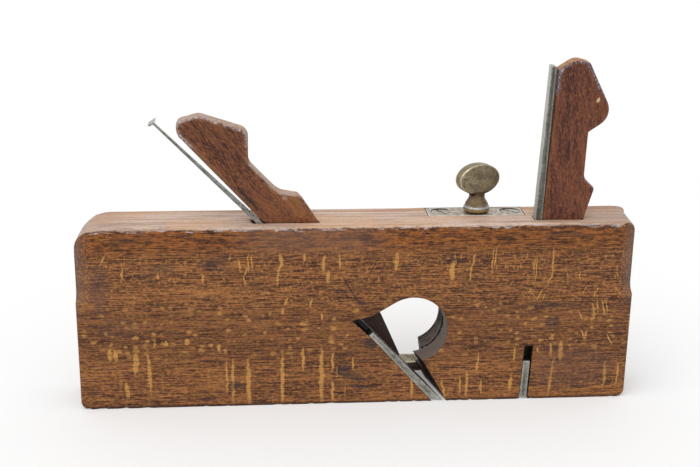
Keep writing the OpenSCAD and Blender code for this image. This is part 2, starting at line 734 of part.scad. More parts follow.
module nicker_wedge() {
    nose_z = stock_h + nicker_nose_rise;
    nose_x = nicker_front_x(nose_z);
    head_z = stock_h + nicker_head_rise;
    head_x = nicker_face_x(head_z);
    back_z = head_z - nicker_back_drop;
    color(wedge_wood) square_across(rounded([
        [nicker_face_x(nicker_wedge_tip_z) + seat_gap, nicker_wedge_tip_z],
        [nicker_face_x(back_z) + seat_gap, back_z, nicker_back_r],
        [head_x + nicker_crown_x, head_z, nicker_crown_r],
        [head_x + nicker_brow_x, head_z - nicker_brow_drop, nicker_brow_r],
        [head_x + nicker_beak_x, head_z - nicker_beak_drop, nicker_beak_r],
        [head_x + nicker_hollow_x, head_z - nicker_hollow_drop, nicker_hollow_r],
        [nose_x - nicker_nose_l, nose_z + nicker_nose_fall, nicker_root_r],
        [nose_x - seat_gap, nose_z, nicker_nose_r],
        [nicker_front_x(nicker_wedge_tip_z) - seat_gap, nicker_wedge_tip_z]]),
        wedge_right_y, wedge_left_y);
}

// A slotted countersunk screw, or with play added the hole that takes it
module screw_body(play = 0) {
    r = screw_d / 2 + play;
    head_r = screw_head_d / 2 + play;
    tip_r = play > 0 ? r : screw_tip_r;
    translate([0, 0, stock_h - screw_l - play]) {
        cylinder(h = screw_tip_l, r1 = tip_r, r2 = r, $fn = small_fn);
        translate([0, 0, screw_tip_l])
            cylinder(h = screw_l - screw_tip_l - screw_rim, r = r, $fn = small_fn);
    }
    translate([0, 0, stock_h - screw_head_h])
        cylinder(h = screw_head_h - screw_rim, r1 = r, r2 = head_r, $fn = small_fn);
    translate([0, 0, stock_h - screw_rim])
        cylinder(h = screw_rim + (play > 0 ? past : 0), r = head_r, $fn = small_fn);
}

module plate_screw(x, turn) {
    color(pale_brass) translate([x, stop_y, 0]) difference() {
        screw_body();
        rotate([0, 0, turn]) translate([-screw_head_d, -slot_w / 2, stock_h - slot_h])
            cube([2 * screw_head_d, slot_w, slot_h + past]);
    }
}

module plate_screw_rear() {
    plate_screw(rear_screw_x, rear_slot_turn);
}

module plate_screw_front() {
    plate_screw(front_screw_x, front_slot_turn);
}

module stop_plate() {
    color(pale_brass) difference() {
        translate([stop_x - plate_rear_l, stop_y - plate_w / 2, plate_z])
            cube([plate_rear_l + plate_front_l, plate_w, plate_t]);
        translate([stop_x, stop_y, plate_z - past])
            cylinder(h = plate_t + 2 * past, d = shank_d + 2 * shank_play, $fn = small_fn);
        for (x = [rear_screw_x, front_screw_x])
            translate([x, stop_y, 0]) screw_body(screw_play);
    }
}

// The turned base of the thumbscrew, from the plate up to the root of the paddle
module thumbscrew_base() {
    bead_z = foot_ring_h + bead_h / 2;
    bead_r = bead_d / 2 - bead_bulge;
    cove_z = foot_ring_h + bead_h;
    waist_r = waist_d / 2;
    root_z = paddle_rise - paddle_h / 2 + paddle_root;
    // The bead is part of an ellipse and the cove is a quarter of one
    bead = [for (a = [-84 : 28 : 84]) [bead_r + bead_bulge * cos(a), bead_z + bead_h / 2 * sin(a)]];
    cove = [for (a = [15 : 15 : 90])
        [waist_r + (bead_r - waist_r) * (1 - sin(a)), cove_z + cove_h * (1 - cos(a))]];
    translate([0, 0, stock_h]) rotate_extrude($fn = round_fn)
        polygon(concat(
            [[0, 0], [bead_r - foot_ring_inset, 0]],
            bead,
            cove,
            [[waist_r + waist_flare, root_z], [0, root_z]]));
}

module thumbscrew() {
    shank_top_z = stock_h + foot_ring_h;
    color(brass) translate([stop_x, stop_y, 0]) difference() {
        union() {
            thumbscrew_base();
            translate([0, 0, shank_end_z])
                cylinder(h = shank_top_z - shank_end_z, d = shank_d, $fn = small_fn);
            rotate([0, 0, paddle_turn]) translate([0, 0, stock_h + paddle_rise]) rotate([90, 0, 0])
                linear_extrude(height = paddle_t, center = true)
                    polygon([for (i = [1 : small_fn]) let (a = 360 * i / small_fn)
                        [paddle_w / 2 * cos(a), paddle_h / 2 * sin(a)]]);
        }
        pin_hole();
    }
}

// The cross hole through shank and ring; both are drilled together
module pin_hole() {
    translate([0, 0, pin_z]) rotate([0, 90, 0])
        cylinder(h = 2 * collar_d, d = pin_d + 2 * pin_play, center = true, $fn = small_fn);
}

module retaining_collar() {
    color(brass) translate([stop_x, stop_y, 0]) difference() {
        translate([0, 0, pin_z]) cylinder(h = collar_h, d = collar_d, center = true, $fn = small_fn);
        translate([0, 0, pin_z])
            cylinder(h = 2 * collar_h, d = shank_d + 2 * shank_play, center = true, $fn = small_fn);
        pin_hole();
    }
}

module collar_pin() {
    color(worn_steel) translate([stop_x, stop_y, pin_z]) rotate([0, 90, 0])
        cylinder(h = collar_d - 2 * pin_inset, d = pin_d, center = true, $fn = small_fn);
}

// One casting: a foot outside the cheek, and a stem that the thumbscrew draws up its groove
module depth_stop() {
    foot_y = left_y + foot_play;
    foot_w = foot_reach - foot_play;
    color(brass) difference() {
        union() {
            translate([stop_x - stem_w / 2, stem_outer_y - stem_t, foot_z]) cube([stem_w, stem_t, stem_h]);
            translate([stop_x - stem_w / 2, stem_outer_y - past, foot_z]) cube([stem_w, foot_w / 2, foot_t]);
            translate([stop_x, 0, foot_z + foot_t]) rotate([90, 0, 90])
                linear_extrude(height = stem_w, center = true)
                    polygon([
                        [stem_outer_y - past, -past],
                        [foot_y + web_size, -past],
                        [foot_y + web_size, 0],
                        [stem_outer_y, web_size],
                        [stem_outer_y - past, web_size]]);
            translate([stop_x, foot_y, foot_z]) linear_extrude(height = foot_t) difference() {
                translate([-foot_l / 2, 0]) square([foot_l, foot_w]);
                corner_waste(foot_l / 2, foot_w, foot_corner_r, 1, 1);
                corner_waste(-foot_l / 2, foot_w, foot_corner_r, -1, 1);
            }
        }
        translate([stop_x, stop_y, foot_z - past])
            cylinder(h = stem_h + 2 * past, d = shank_d + 2 * shank_play, $fn = small_fn);
    }
}

stock();
main_iron();
main_wedge();
nicker_iron();
nicker_wedge();
stop_plate();
plate_screw_rear();
plate_screw_front();
thumbscrew();
retaining_collar();
collar_pin();
depth_stop();
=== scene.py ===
"""Dado plane: worn surfaces, finishes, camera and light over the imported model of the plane.

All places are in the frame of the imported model: X from heel to toe, Y from the right-hand cheek
to the left-hand one, Z up from the sole. Shapes are worked out in millimetres.
"""

import logging
import math
from dataclasses import dataclass, field
from enum import Enum

import bmesh
import bpy
import numpy as np
from mathutils import Matrix, Vector


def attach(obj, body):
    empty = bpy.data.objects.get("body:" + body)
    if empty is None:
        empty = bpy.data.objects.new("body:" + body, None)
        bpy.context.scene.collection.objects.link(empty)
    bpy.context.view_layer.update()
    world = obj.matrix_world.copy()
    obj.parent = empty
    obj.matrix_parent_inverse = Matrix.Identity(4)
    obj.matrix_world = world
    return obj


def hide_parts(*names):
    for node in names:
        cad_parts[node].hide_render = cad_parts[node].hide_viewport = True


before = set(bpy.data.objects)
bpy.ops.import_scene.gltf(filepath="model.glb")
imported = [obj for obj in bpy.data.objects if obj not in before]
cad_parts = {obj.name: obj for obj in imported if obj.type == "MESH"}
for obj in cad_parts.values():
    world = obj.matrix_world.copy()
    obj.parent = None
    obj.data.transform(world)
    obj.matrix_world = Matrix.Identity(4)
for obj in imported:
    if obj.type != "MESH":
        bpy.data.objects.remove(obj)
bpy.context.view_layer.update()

LOG = logging.getLogger("dado_plane")
MM = 0.001
RenderColour = tuple[float, float, float]


class Grain(Enum):
    """Which way the fibres of a wooden piece run."""

    ALONG_STOCK = (0.0, 0.0, 0.0)
    UP_MAIN_WEDGE = (0.0, math.radians(-50.0), 0.0)
    UP_NICKER_WEDGE = (0.0, math.radians(-83.0), 0.0)


def srgb(red: int, green: int, blue: int) -> RenderColour:
    """Turns a colour as it is seen on a screen into the linear one that a shader takes.

    Args:
        red: red from 0 to 255.
        green: green from 0 to 255.
        blue: blue from 0 to 255.

    Returns:
        The three linear parts, from 0 to 1.
    """
    parts = np.array([red, green, blue]) / 255.0
    linear = np.where(parts <= 0.04045, parts / 12.92, ((parts + 0.055) / 1.055) ** 2.4)
    return tuple(float(part) for part in linear)


class Socket:
    """A node's output that takes part in sums, so that an expression adds its Math nodes."""

    def __init__(self, shader: "Shader", link: bpy.types.NodeSocket) -> None:
        """Keeps the shader that new nodes go to, and the output."""
        self.shader = shader
        self.link = link

    def _math(self, operation: str, *values: "Socket | float") -> "Socket":
        """Adds one Math node on the values given."""
        return self.shader.node("ShaderNodeMath", {"operation": operation}, dict(enumerate(values)))

    def __add__(self, other: "Socket | float") -> "Socket":
        """The sum."""
        return self._math("ADD", self, other)

    def __radd__(self, other: float) -> "Socket":
        """The sum, with the number first."""
        return self._math("ADD", other, self)

    def __sub__(self, other: "Socket | float") -> "Socket":
        """The difference."""
        return self._math("SUBTRACT", self, other)

    def __rsub__(self, other: float) -> "Socket":
        """The difference, with the number first."""
        return self._math("SUBTRACT", other, self)

    def __mul__(self, other: "Socket | float") -> "Socket":
        """The product."""
        return self._math("MULTIPLY", self, other)

    def __rmul__(self, other: float) -> "Socket":
        """The product, with the number first."""
        return self._math("MULTIPLY", other, self)

    def __pow__(self, other: float) -> "Socket":
        """The power."""
        return self._math("POWER", self, other)

    def __abs__(self) -> "Socket":
        """The size without its sign."""
        return self._math("ABSOLUTE", self)

    def floor(self) -> "Socket":
        """The larger of this and zero."""
        return self._math("MAXIMUM", self, 0.0)

    def most(self, other: "Socket | float") -> "Socket":
        """The larger of the two."""
        return self._math("MAXIMUM", self, other)

    def least(self, other: "Socket | float") -> "Socket":
        """The smaller of the two."""
        return self._math("MINIMUM", self, other)

    def scaled(self, factor: "Socket | float", offset: "Socket | float") -> "Socket":
        """This times a factor, plus an offset."""
        return self._math("MULTIPLY_ADD", self, factor, offset)

    def sine(self) -> "Socket":
        """The sine."""
        return self._math("SINE", self)

    def step(self, low: "Socket | float", high: "Socket | float") -> "Socket":
        """A smooth rise from 0 at low to 1 at high; low may be the larger one.

        Args:
            low: the value that gives 0.
            high: the value that gives 1.

        Returns:
            The smoothed value, from 0 to 1.
        """
        return self.shader.node(
            "ShaderNodeMapRange",
            {"interpolation_type": "SMOOTHSTEP"},
            {"Value": self, "From Min": low, "From Max": high},
        )

    def beside(self, output: str) -> "Socket":
        """Another output of the same node."""
        return Socket(self.shader, self.link.node.outputs[output])


class Shader:
    """One material's node tree, with a short way to add nodes to it."""

    def __init__(self, name: str) -> None:
        """Makes an empty material of that name with its shader and output."""
        self.material = bpy.data.materials.new(name)
        self.material.use_nodes = True
        self.tree = self.material.node_tree
        self.tree.nodes.clear()
        self.surface = self.tree.nodes.new("ShaderNodeBsdfPrincipled")
        output = self.tree.nodes.new("ShaderNodeOutputMaterial")
        self.tree.links.new(self.surface.outputs[0], output.inputs["Surface"])

    def put(self, target: bpy.types.NodeSocket, value: "Socket | float | tuple") -> None:
        """Links or sets one input socket."""
        if isinstance(value, Socket):
            self.tree.links.new(value.link, target)
        elif isinstance(value, tuple) and len(value) == 3 and target.type == "RGBA":
            target.default_value = (*value, 1.0)
        else:
            target.default_value = value

    def node(self, kind: str, settings: dict, inputs: dict, output: int | str = 0) -> Socket:
        """Adds any node.

        Args:
            kind: the node's type.
            settings: its properties, which are set first.
            inputs: values or links by socket name or number.
            output: which output to give back.

        Returns:
            That output.
        """
        made = self.tree.nodes.new(kind)
        for key, value in settings.items():
            setattr(made, key, value)
        for key, value in inputs.items():
            self.put(made.inputs[key], value)
        return Socket(self, made.outputs[output])

    def place(self, turn: tuple = (0.0, 0.0, 0.0), stretch: tuple = (1.0, 1.0, 1.0)) -> Socket:
        """The object's own coordinates in millimetres, turned and then stretched.

        Args:
            turn: turn about X, Y and Z in radians.
            stretch: factors along the turned axes.

        Returns:
            A vector to feed a texture with.
        """
        coordinates = self.node("ShaderNodeTexCoord", {}, {}, "Object")
        turned = self.node("ShaderNodeMapping", {}, {"Vector": coordinates, "Rotation": turn})
        scale = tuple(factor / MM for factor in stretch)
        return self.node("ShaderNodeVectorMath", {"operation": "MULTIPLY"}, {0: turned, 1: scale})

    def value(self, number: float) -> Socket:
        """A number as an output."""
        made = self.node("ShaderNodeValue", {}, {})
        made.link.default_value = number
        return made

    def coordinates(self) -> tuple[Socket, Socket, Socket]:
        """The three coordinates of the object in millimetres."""
        first = self.node("ShaderNodeSeparateXYZ", {}, {0: self.place()}, "X")
        return first, first.beside("Y"), first.beside("Z")

    def noise(self, vector: Socket, scale: float, detail: float = 2.0, rough: float = 0.5) -> Socket:
        """A cloudy value about 0.5; scale is in features per millimetre."""
        inputs = {"Vector": vector, "Scale": scale, "Detail": detail, "Roughness": rough}
        return self.node("ShaderNodeTexNoise", {}, inputs, "Fac")

    def dashes(self, across: Socket, along: Socket, half: float, share: float, ragged: Socket) -> Socket:
        """Scattered oblong spots, at most one to a cell, of unlike sizes and strengths.

        Args:
            across: the coordinate over the spots, in cells.
            along: the coordinate along them, in cells.
            half: half the largest spot's size, in cells.
            share: share of the cells that have a spot.
            ragged: a value about 0.5 that frays their outlines.

        Returns:
            1 inside a spot and 0 outside.
        """
        flat = self.node("ShaderNodeCombineXYZ", {}, {"X": across, "Y": along})
        settings = {"voronoi_dimensions": "2D", "feature": "F1", "distance": "EUCLIDEAN"}
        reach = self.node("ShaderNodeTexVoronoi", settings, {"Vector": flat, "Scale": 1.0}, "Distance")
        red = self.node("ShaderNodeSeparateColor", {}, {0: reach.beside("Color")}, "Red")
        size = half * (0.45 + 0.55 * red.beside("Green"))
        inside = (reach + 1.9 * half * (ragged - 0.5) - size).step(0.2 * half, -0.2 * half)
        return inside * red.step(share, share - 0.01) * (0.35 + 0.65 * red.beside("Blue"))

    def mix(self, amount: Socket | float, first: Socket | tuple, second: Socket | tuple,
            blend: str = "MIX") -> Socket:
        """Mixes two colours.

        Args:
            amount: how much of the second, from 0 to 1.
            first: a colour or a link.
            second: a colour or a link.
            blend: the way of mixing.

        Returns:
            The mixed colour.
        """
        made = self.tree.nodes.new("ShaderNodeMix")
        made.data_type = "RGBA"
        made.blend_type = blend
        for key, value in ((0, amount), (6, first), (7, second)):
            self.put(made.inputs[key], value)
        return Socket(self, made.outputs[2])

    def facing(self, axis: str) -> Socket:
        """The part of the surface normal along one axis of the object, from -1 to 1."""
        normal = self.node("ShaderNodeTexCoord", {}, {}, "Normal")
        return self.node("ShaderNodeSeparateXYZ", {}, {0: normal}, axis)

    def worn(self) -> Socket:
        """How near the surface is to a sharp edge of the new piece, from 0 to 1."""
        return self.node("ShaderNodeAttribute", {"attribute_name": "arris"}, {}, "Fac")

    def bump(self, height: Socket, depth: float, strength: float = 1.0) -> None:
        """Gives the surface relief from a height value; depth is in millimetres."""
        inputs = {"Height": height, "Distance": depth * MM, "Strength": strength}
        self.put(self.surface.inputs["Normal"], self.node("ShaderNodeBump", {}, inputs, "Normal"))

    def finish(self, values: dict) -> bpy.types.Material:
        """Sets the shader's own sockets by name and gives the material."""
        for name, value in values.items():
            self.put(self.surface.inputs[name], value)
        return self.material


@dataclass(frozen=True)
class Mark:
    """A stain, dent or scratch on the right-hand face: an ellipse with a frayed rim."""

    x: float
    z: float
    half_length: float
    half_width: float
    turn: float
    colour: RenderColour
    strength: float = 0.7

    def lay(self, made: Shader, colour: Socket, x: Socket, z: Socket, fray: Socket) -> Socket:
        """Lays the mark over a colour.

        Args:
            made: the shader.
            colour: the colour below.
            x: place along the stock in millimetres.
            z: height in millimetres.
            fray: a value about 0.5 that frays the rim; a large one hides the mark.

        Returns:
            The colour with the mark.
        """
        cosine, sine = math.cos(math.radians(self.turn)), math.sin(math.radians(self.turn))
        along = (cosine / self.half_length) * (x - self.x) + (sine / self.half_length) * (z - self.z)
        over = (cosine / self.half_width) * (z - self.z) - (sine / self.half_width) * (x - self.x)
        inside = (along * along + over * over + 1.8 * (fray - 0.5)).step(1.35, 0.35)
        return made.mix(0.85 * self.strength * inside, colour, self.colour)


# The largest rays on the right-hand face: x, z, half height, half width, lean
RAYS = (
    (-108.5, 68.9, 2.5, 0.39, 0.43), (-100.8, 62.8, 2.5, 0.47, 0.09), (-85.5, 61.4, 1.4, 0.47, 0.08),
    (-66.9, 59.7, 2.3, 0.39, 0.00), (-55.0, 69.6, 1.4, 0.43, 0.16), (-51.3, 65.7, 2.5, 0.35, 0.00),
    (-47.4, 66.8, 4.1, 0.26, 0.03), (-45.9, 67.0, 3.4, 0.28, 0.01), (-48.5, 63.1, 2.3, 0.32, 0.28),
    (-49.0, 59.0, 2.3, 0.30, -0.09), (-33.7, 68.6, 2.1, 0.78, -0.21), (-33.9, 65.2, 2.7, 0.60, 0.24),
    (-35.0, 59.7, 2.8, 0.43, 0.00), (-23.7, 68.9, 1.6, 0.43, 0.00), (-15.3, 66.0, 3.4, 0.69, 0.00),
    (-13.4, 59.6, 2.5, 0.65, 0.00), (-8.6, 66.9, 3.4, 0.35, 0.00), (16.0, 66.2, 3.7, 0.78, 0.00),
    (41.4, 67.2, 2.3, 0.28, 0.00), (40.3, 62.0, 4.4, 0.97, -0.05), (49.2, 66.7, 2.7, 0.43, 0.16),
    (48.4, 60.7, 3.7, 0.35, 0.03), (57.6, 66.1, 5.0, 0.26, 0.00), (58.8, 67.7, 4.4, 0.30, 0.00),
    (75.9, 62.8, 3.9, 0.22, 0.00), (76.9, 61.9, 5.3, 0.22, 0.02), (84.3, 66.1, 6.0, 0.30, -0.01),
    (83.6, 57.4, 3.2, 0.26, 0.24), (79.0, 49.7, 2.3, 0.32, 0.57), (74.9, 52.3, 1.1, 0.24, 0.57),
    (81.1, 49.0, 1.1, 0.26, 0.38), (96.4, 58.6, 1.8, 0.26, 0.12), (99.0, 51.7, 1.8, 0.26, 0.59),
    (104.4, 50.9, 2.0, 0.30, 0.42), (103.8, 42.4, 3.2, 0.26, -0.20), (105.5, 44.0, 2.5, 0.26, -0.09),
    (108.1, 43.7, 3.2, 0.35, -0.20), (109.7, 43.5, 2.5, 0.26, -0.13), (98.0, 40.0, 2.1, 0.24, -0.42),
    (99.5, 31.3, 1.6, 0.43, -0.40), (101.0, 31.0, 1.4, 0.43, 0.00), (112.0, 28.1, 2.3, 0.35, -0.47),
    (-31.5, 48.9, 1.6, 0.47, 0.27), (-20.7, 48.0, 1.8, 0.39, 0.24), (-33.0, 44.5, 1.4, 0.54, 0.16),
    (-16.0, 41.5, 1.4, 0.43, 0.00), (-5.2, 32.4, 1.1, 0.43, 0.38), (-107.4, 25.7, 2.5, 0.86, 0.00),
    (-104.9, 25.2, 2.5, 0.99, 0.00), (-96.4, 21.2, 4.6, 1.08, 0.00), (-90.7, 17.0, 8.7, 0.65, -0.04),
    (-100.5, 8.9, 3.7, 0.86, -0.12), (-57.5, 13.7, 6.4, 0.43, -0.02), (-54.8, 11.9, 9.2, 0.60, 0.00),
    (-47.9, 11.3, 10.1, 0.86, 0.00), (-33.1, 12.4, 11.5, 0.73, 0.00), (-23.9, 21.7, 4.8, 0.60, 0.00),
    (-16.0, 13.3, 12.6, 0.86, 0.00), (-11.2, 19.9, 4.6, 0.52, 0.00), (-11.2, 5.7, 5.0, 0.56, 0.00),
    (-9.1, 15.1, 2.5, 0.30, 0.00), (-2.2, 19.1, 3.0, 0.39, 0.00), (24.2, 6.5, 3.7, 0.54, 0.00),
    (38.2, 5.6, 3.9, 0.43, -0.17), (45.6, 7.3, 4.4, 0.35, -0.02), (48.7, 7.7, 5.7, 0.52, -0.02),
    (53.2, 17.8, 4.4, 0.43, 0.02), (55.3, 6.3, 3.4, 0.43, -0.03), (69.6, 21.9, 3.2, 0.43, 0.03),
    (68.3, 7.9, 3.4, 0.65, 0.03), (86.7, 10.8, 8.5, 0.60, 0.10), (85.9, 23.7, 3.0, 0.52, 0.00),
    (90.2, 22.9, 4.6, 0.86, 0.00), (111.1, 11.1, 6.0, 0.56, 0.00), (116.7, 11.1, 5.0, 0.47, 0.04),
    (80.0, 23.8, 1.1, 0.43, 0.00), (-60.5, 28.0, 1.4, 0.73, -0.08), (-74.2, 31.0, 1.4, 0.97, 0.00),
    (-82.8, 30.4, 1.1, 0.65, 0.00), (-88.0, 30.3, 1.4, 0.43, 0.00),
)


@dataclass(frozen=True)
class StockBeech:
    """Oiled old beech of the stock: rays in three bands, a dark upper arris and a pale top."""

    name: str = "stock_beech"
    light: RenderColour = srgb(172, 114, 66)
    dark: RenderColour = srgb(72, 43, 32)
    deep: RenderColour = srgb(38, 24, 20)
    soot: RenderColour = srgb(48, 38, 40)
    gold: RenderColour = srgb(190, 130, 66)
    ray: RenderColour = srgb(204, 150, 82)
    orange: RenderColour = srgb(164, 98, 44)
    umber: RenderColour = srgb(54, 30, 20)
    # pale top: worn wood with painted light from above and a painted sheen
    top: RenderColour = srgb(212, 186, 168)
    top_streak: RenderColour = srgb(150, 112, 86)
    # painted highlight colour of the glints on the upper arris
    grey: RenderColour = srgb(196, 188, 190)
    end: RenderColour = srgb(104, 70, 48)
    dirt: RenderColour = srgb(52, 43, 38)
    bore: RenderColour = srgb(124, 112, 102)
    bore_x: float = 24.0
    bore_z: float = 34.15
    seam_y: float = 0.65
    marks: tuple[Mark, ...] = (
        Mark(-3.7, 53.8, 8.4, 0.42, -60.0, srgb(40, 34, 38), 0.9),
        Mark(1.3, 47.5, 2.4, 1.2, -10.0, srgb(44, 38, 42), 0.8),
        Mark(4.5, 61.0, 11.0, 0.35, 62.0, srgb(58, 44, 40), 0.6),
        Mark(8.0, 60.0, 8.0, 0.3, 58.0, srgb(58, 44, 40), 0.5),
        Mark(-10.0, 53.6, 5.0, 0.5, -8.0, srgb(50, 40, 42), 0.8),
        Mark(-100.0, 77.0, 5.5, 2.2, 0.0, srgb(50, 40, 40), 0.5),
        Mark(-84.0, 64.5, 6.0, 2.6, 10.0, srgb(62, 50, 50), 0.45),
        Mark(-91.0, 61.5, 4.4, 2.4, 0.0, srgb(60, 50, 52), 0.4),
        Mark(-62.0, 66.5, 7.0, 3.6, 0.0, srgb(62, 50, 50), 0.45),
        Mark(-57.0, 70.0, 3.0, 1.4, 0.0, srgb(50, 42, 46), 0.6),
        Mark(-110.5, 56.0, 4.5, 12.0, 0.0, srgb(90, 68, 64), 0.5),
        Mark(-3.0, 13.4, 8.5, 2.0, -20.0, srgb(54, 46, 48), 0.7),
        Mark(-6.0, 17.0, 3.0, 1.6, 0.0, srgb(50, 46, 52), 0.7),
        Mark(0.0, 8.0, 5.0, 1.2, -10.0, srgb(50, 46, 52), 0.6),
        Mark(6.0, 29.0, 3.6, 3.2, 0.0, srgb(54, 46, 50), 0.75),
        Mark(2.0, 77.5, 3.6, 1.8, 0.0, srgb(52, 42, 44), 0.7),
        Mark(42.0, 66.8, 5.0, 0.9, -24.0, srgb(52, 42, 42), 0.6),
        Mark(90.0, 77.5, 12.0, 1.4, -3.0, srgb(52, 42, 42), 0.5),
        Mark(84.0, 45.0, 14.0, 1.5, 0.0, srgb(60, 48, 48), 0.5),
        Mark(86.0, 37.0, 3.5, 3.0, 40.0, srgb(52, 44, 48), 0.65),
        Mark(54.0, 50.5, 2.2, 0.9, 0.0, srgb(56, 44, 42), 0.7),
        Mark(-54.0, 10.0, 3.0, 2.0, 35.0, srgb(54, 46, 50), 0.6),
        Mark(-66.0, 3.5, 3.5, 1.0, 0.0, srgb(50, 42, 46), 0.6),
        Mark(-103.0, 38.5, 11.0, 5.0, 0.0, srgb(86, 62, 54), 0.35),
        Mark(95.0, 15.0, 22.0, 11.0, 0.0, srgb(104, 74, 64), 0.4),
    )

    def grain(self, made: Shader, line: Socket, z: Socket) -> Socket:
        """Mixes the ground colour: thin level lines, mottling, layers of growth and old soot.

        Args:
            made: the shader.
            line: a value about 0.5 that changes in thin level lines.
            z: height in millimetres; the wood is darker between 20 and 46.

        Returns:
            The colour.
        """
        streak = made.noise(made.place(stretch=(0.05, 1.0, 1.0)), 0.8, 3.0, 0.7)
        mottle = made.noise(made.place(stretch=(0.45, 1.0, 1.0)), 1.25, 4.0, 0.75)
        layer = made.noise(made.place(stretch=(0.08, 0.3, 1.0)), 0.15, 4.0, 0.65)
        tone = (0.42 * line + 0.12 * streak + 0.3 * mottle + 0.16 * layer).step(0.43, 0.57)
        colour = made.mix(tone, self.dark, self.light)
        colour = made.mix(0.6 * mottle.step(0.55, 0.66), colour, self.gold)
        colour = made.mix(0.3 * z.step(17.0, 23.0) * z.step(49.0, 43.0), colour, self.dark)
        stain = made.noise(made.place(stretch=(0.4, 1.0, 1.0)), 0.24, 6.0, 0.8).step(0.56, 0.68)
        return made.mix(0.45 * stain, colour, self.soot)

    def flecks(self, made: Shader, place: tuple[Socket, Socket, Socket], fray: Socket) -> Socket:
        """Works out where rays show: the largest ones by name, and small ones scattered between.

        A ray covers the places where ((x - lean * z) / half width)^2 + (z / half height)^2, both
        measured from its middle, is under 1.

        Args:
            made: the shader.
            place: the coordinates in millimetres.
            fray: a value about 0.5 that frays outlines.

        Returns:
            How strongly a ray shows, from 0 to 1.
        """
        x, y, z = place
        bend = made.noise(made.place(stretch=(0.3, 1.0, 1.0)), 0.3, 3.0, 0.6).scaled(2.4, -1.2)
        bent = x + bend
        near = made.value(9.0)
        for middle, height, half, wide, lean in RAYS:
            wide, half = 1.15 * wide, 1.12 * half
            over = bent.scaled(1.0 / wide, (lean * height - middle) / wide)
            over = z.scaled(-lean / wide, over) if lean else over
            along = z.scaled(1.0 / half, -height / half)
            near = near.least(along.scaled(along, over * over))
        right = y.step(-11.0, -12.2)
        large = right * (near + 3.2 * (fray - 0.5)).step(1.35, 0.5)

        over = x + 1.3 * y
        drop = (66.0 - z).floor()
        wave = 2.5 * made.noise(made.place(), 0.06, 1.0)
        bent = over - 0.018 * drop * drop + wave
        low = made.dashes(0.5 * over, 0.06 * z + 0.1 * wave, 0.3, 0.25, fray) * z.step(27.0, 21.0)
        dots = made.dashes(0.26 * over + wave, 0.36 * z, 0.36, 0.36, fray) * z.step(20.0, 25.0)
        dots = dots * z.step(52.0, 42.0)
        feather = made.dashes(0.75 * bent, 0.22 * z, 0.3, 0.4, fray) * z.step(44.0, 50.0)
        feather = feather * z.step(76.0, 70.0)
        return large.most(0.4 * low).most(0.85 * dots).most(0.55 * feather)

    def build(self) -> bpy.types.Material:
        """Builds the material.

        Returns:
            The material, for all faces of the stock.
        """
        made = Shader(self.name)
        x, y, z = place = made.coordinates()
        line = made.noise(made.place(stretch=(0.045, 1.0, 1.0)), 1.9, 4.0, 0.7)
        pore = made.noise(made.place(stretch=(0.22, 1.0, 1.0)), 2.4, 2.0, 0.6).step(0.57, 0.66)
        fray = made.noise(made.place(stretch=(0.8, 1.0, 1.2)), 1.3, 4.0, 0.75)
        colour = self.grain(made, line, z)
        colour = made.mix(0.85 * self.flecks(made, place, fray), colour, self.ray)
        colour = made.mix(0.55 * line.step(0.45, 0.36), colour, self.deep)
        colour = made.mix(0.4 * pore, colour, self.deep)
        colour = self.band(made, colour, place, line, pore, fray)

        away = 1.0 - made.facing("Y").step(-0.35, -0.75) * y.step(-11.0, -12.2)
        for mark in self.marks:
            colour = mark.lay(made, colour, x, z, fray + (line - 0.5) + 9.0 * away)

        colour = self.ends(made, colour, place, fray)
        colour = self.tops(made, colour, place, line, fray, pore)
        colour = self.inside(made, colour, place, fray)

        made.bump(0.5 * line + 0.3 * fray - 0.7 * pore, 0.1)
        rough = 0.42 + 0.2 * fray + 0.1 * pore
        return made.finish({"Base Color": colour, "Roughness": rough, "Specular IOR Level": 0.2})

    def band(self, made: Shader, colour: Socket, place: tuple[Socket, Socket, Socket],
             line: Socket, pore: Socket, fray: Socket) -> Socket:
        """Adds the oily band under the upper arris, umber and orange in short level streaks, with painted grey-blue
        highlights near the arris.
        """
        x, y, z = place
        patch = made.noise(made.place(stretch=(0.3, 1.0, 1.0)), 0.9, 4.0, 0.8)
        middle = x.step(-62.0, -36.0) * x.step(20.0, -5.0)
        oily = made.mix((0.6 * patch + 0.4 * line).step(0.42, 0.58), self.umber, self.orange)
        oily = made.mix(0.5 * pore, oily, self.soot)
        oily = made.mix(0.4 * middle, oily, srgb(136, 106, 90))
        # painted highlights: grey-blue glints of sheen along the upper arris
        glint = made.noise(made.place(stretch=(0.45, 1.0, 1.0)), 1.1, 3.0, 0.7).step(0.62, 0.7)
        oily = made.mix(0.6 * glint * z.step(74.0, 80.0), oily, srgb(150, 146, 156))
        upper = (z + 8.0 * (fray - 0.5)).step(67.0, 76.0)
        return made.mix(0.85 * upper, colour, oily)

    def ends(self, made: Shader, colour: Socket, place: tuple[Socket, Socket, Socket],
             fray: Socket) -> Socket:
        """Gives heel and toe their end grain: darker, with fine rings and dotted pores; greys their upper ends with
        painted glints, and paints contact shade along the sole's near edge.
        """
        x, y, z = place
        far = (y - 46.0) * (y - 46.0) + (z + 60.0) * (z + 60.0)
        ring = (2.1 * far ** 0.5 + 2.5 * fray).sine()
        dot = made.noise(made.place(), 2.6, 1.0).step(0.56, 0.66)
        ends = made.mix(0.35 + 0.3 * ring, self.end, self.deep)
        ends = made.mix(0.35 * dot, ends, self.light)
        end = abs(made.facing("X")).step(0.72, 0.92)
        colour = made.mix(0.85 * end * abs(x).step(112.0, 113.0), colour, ends)
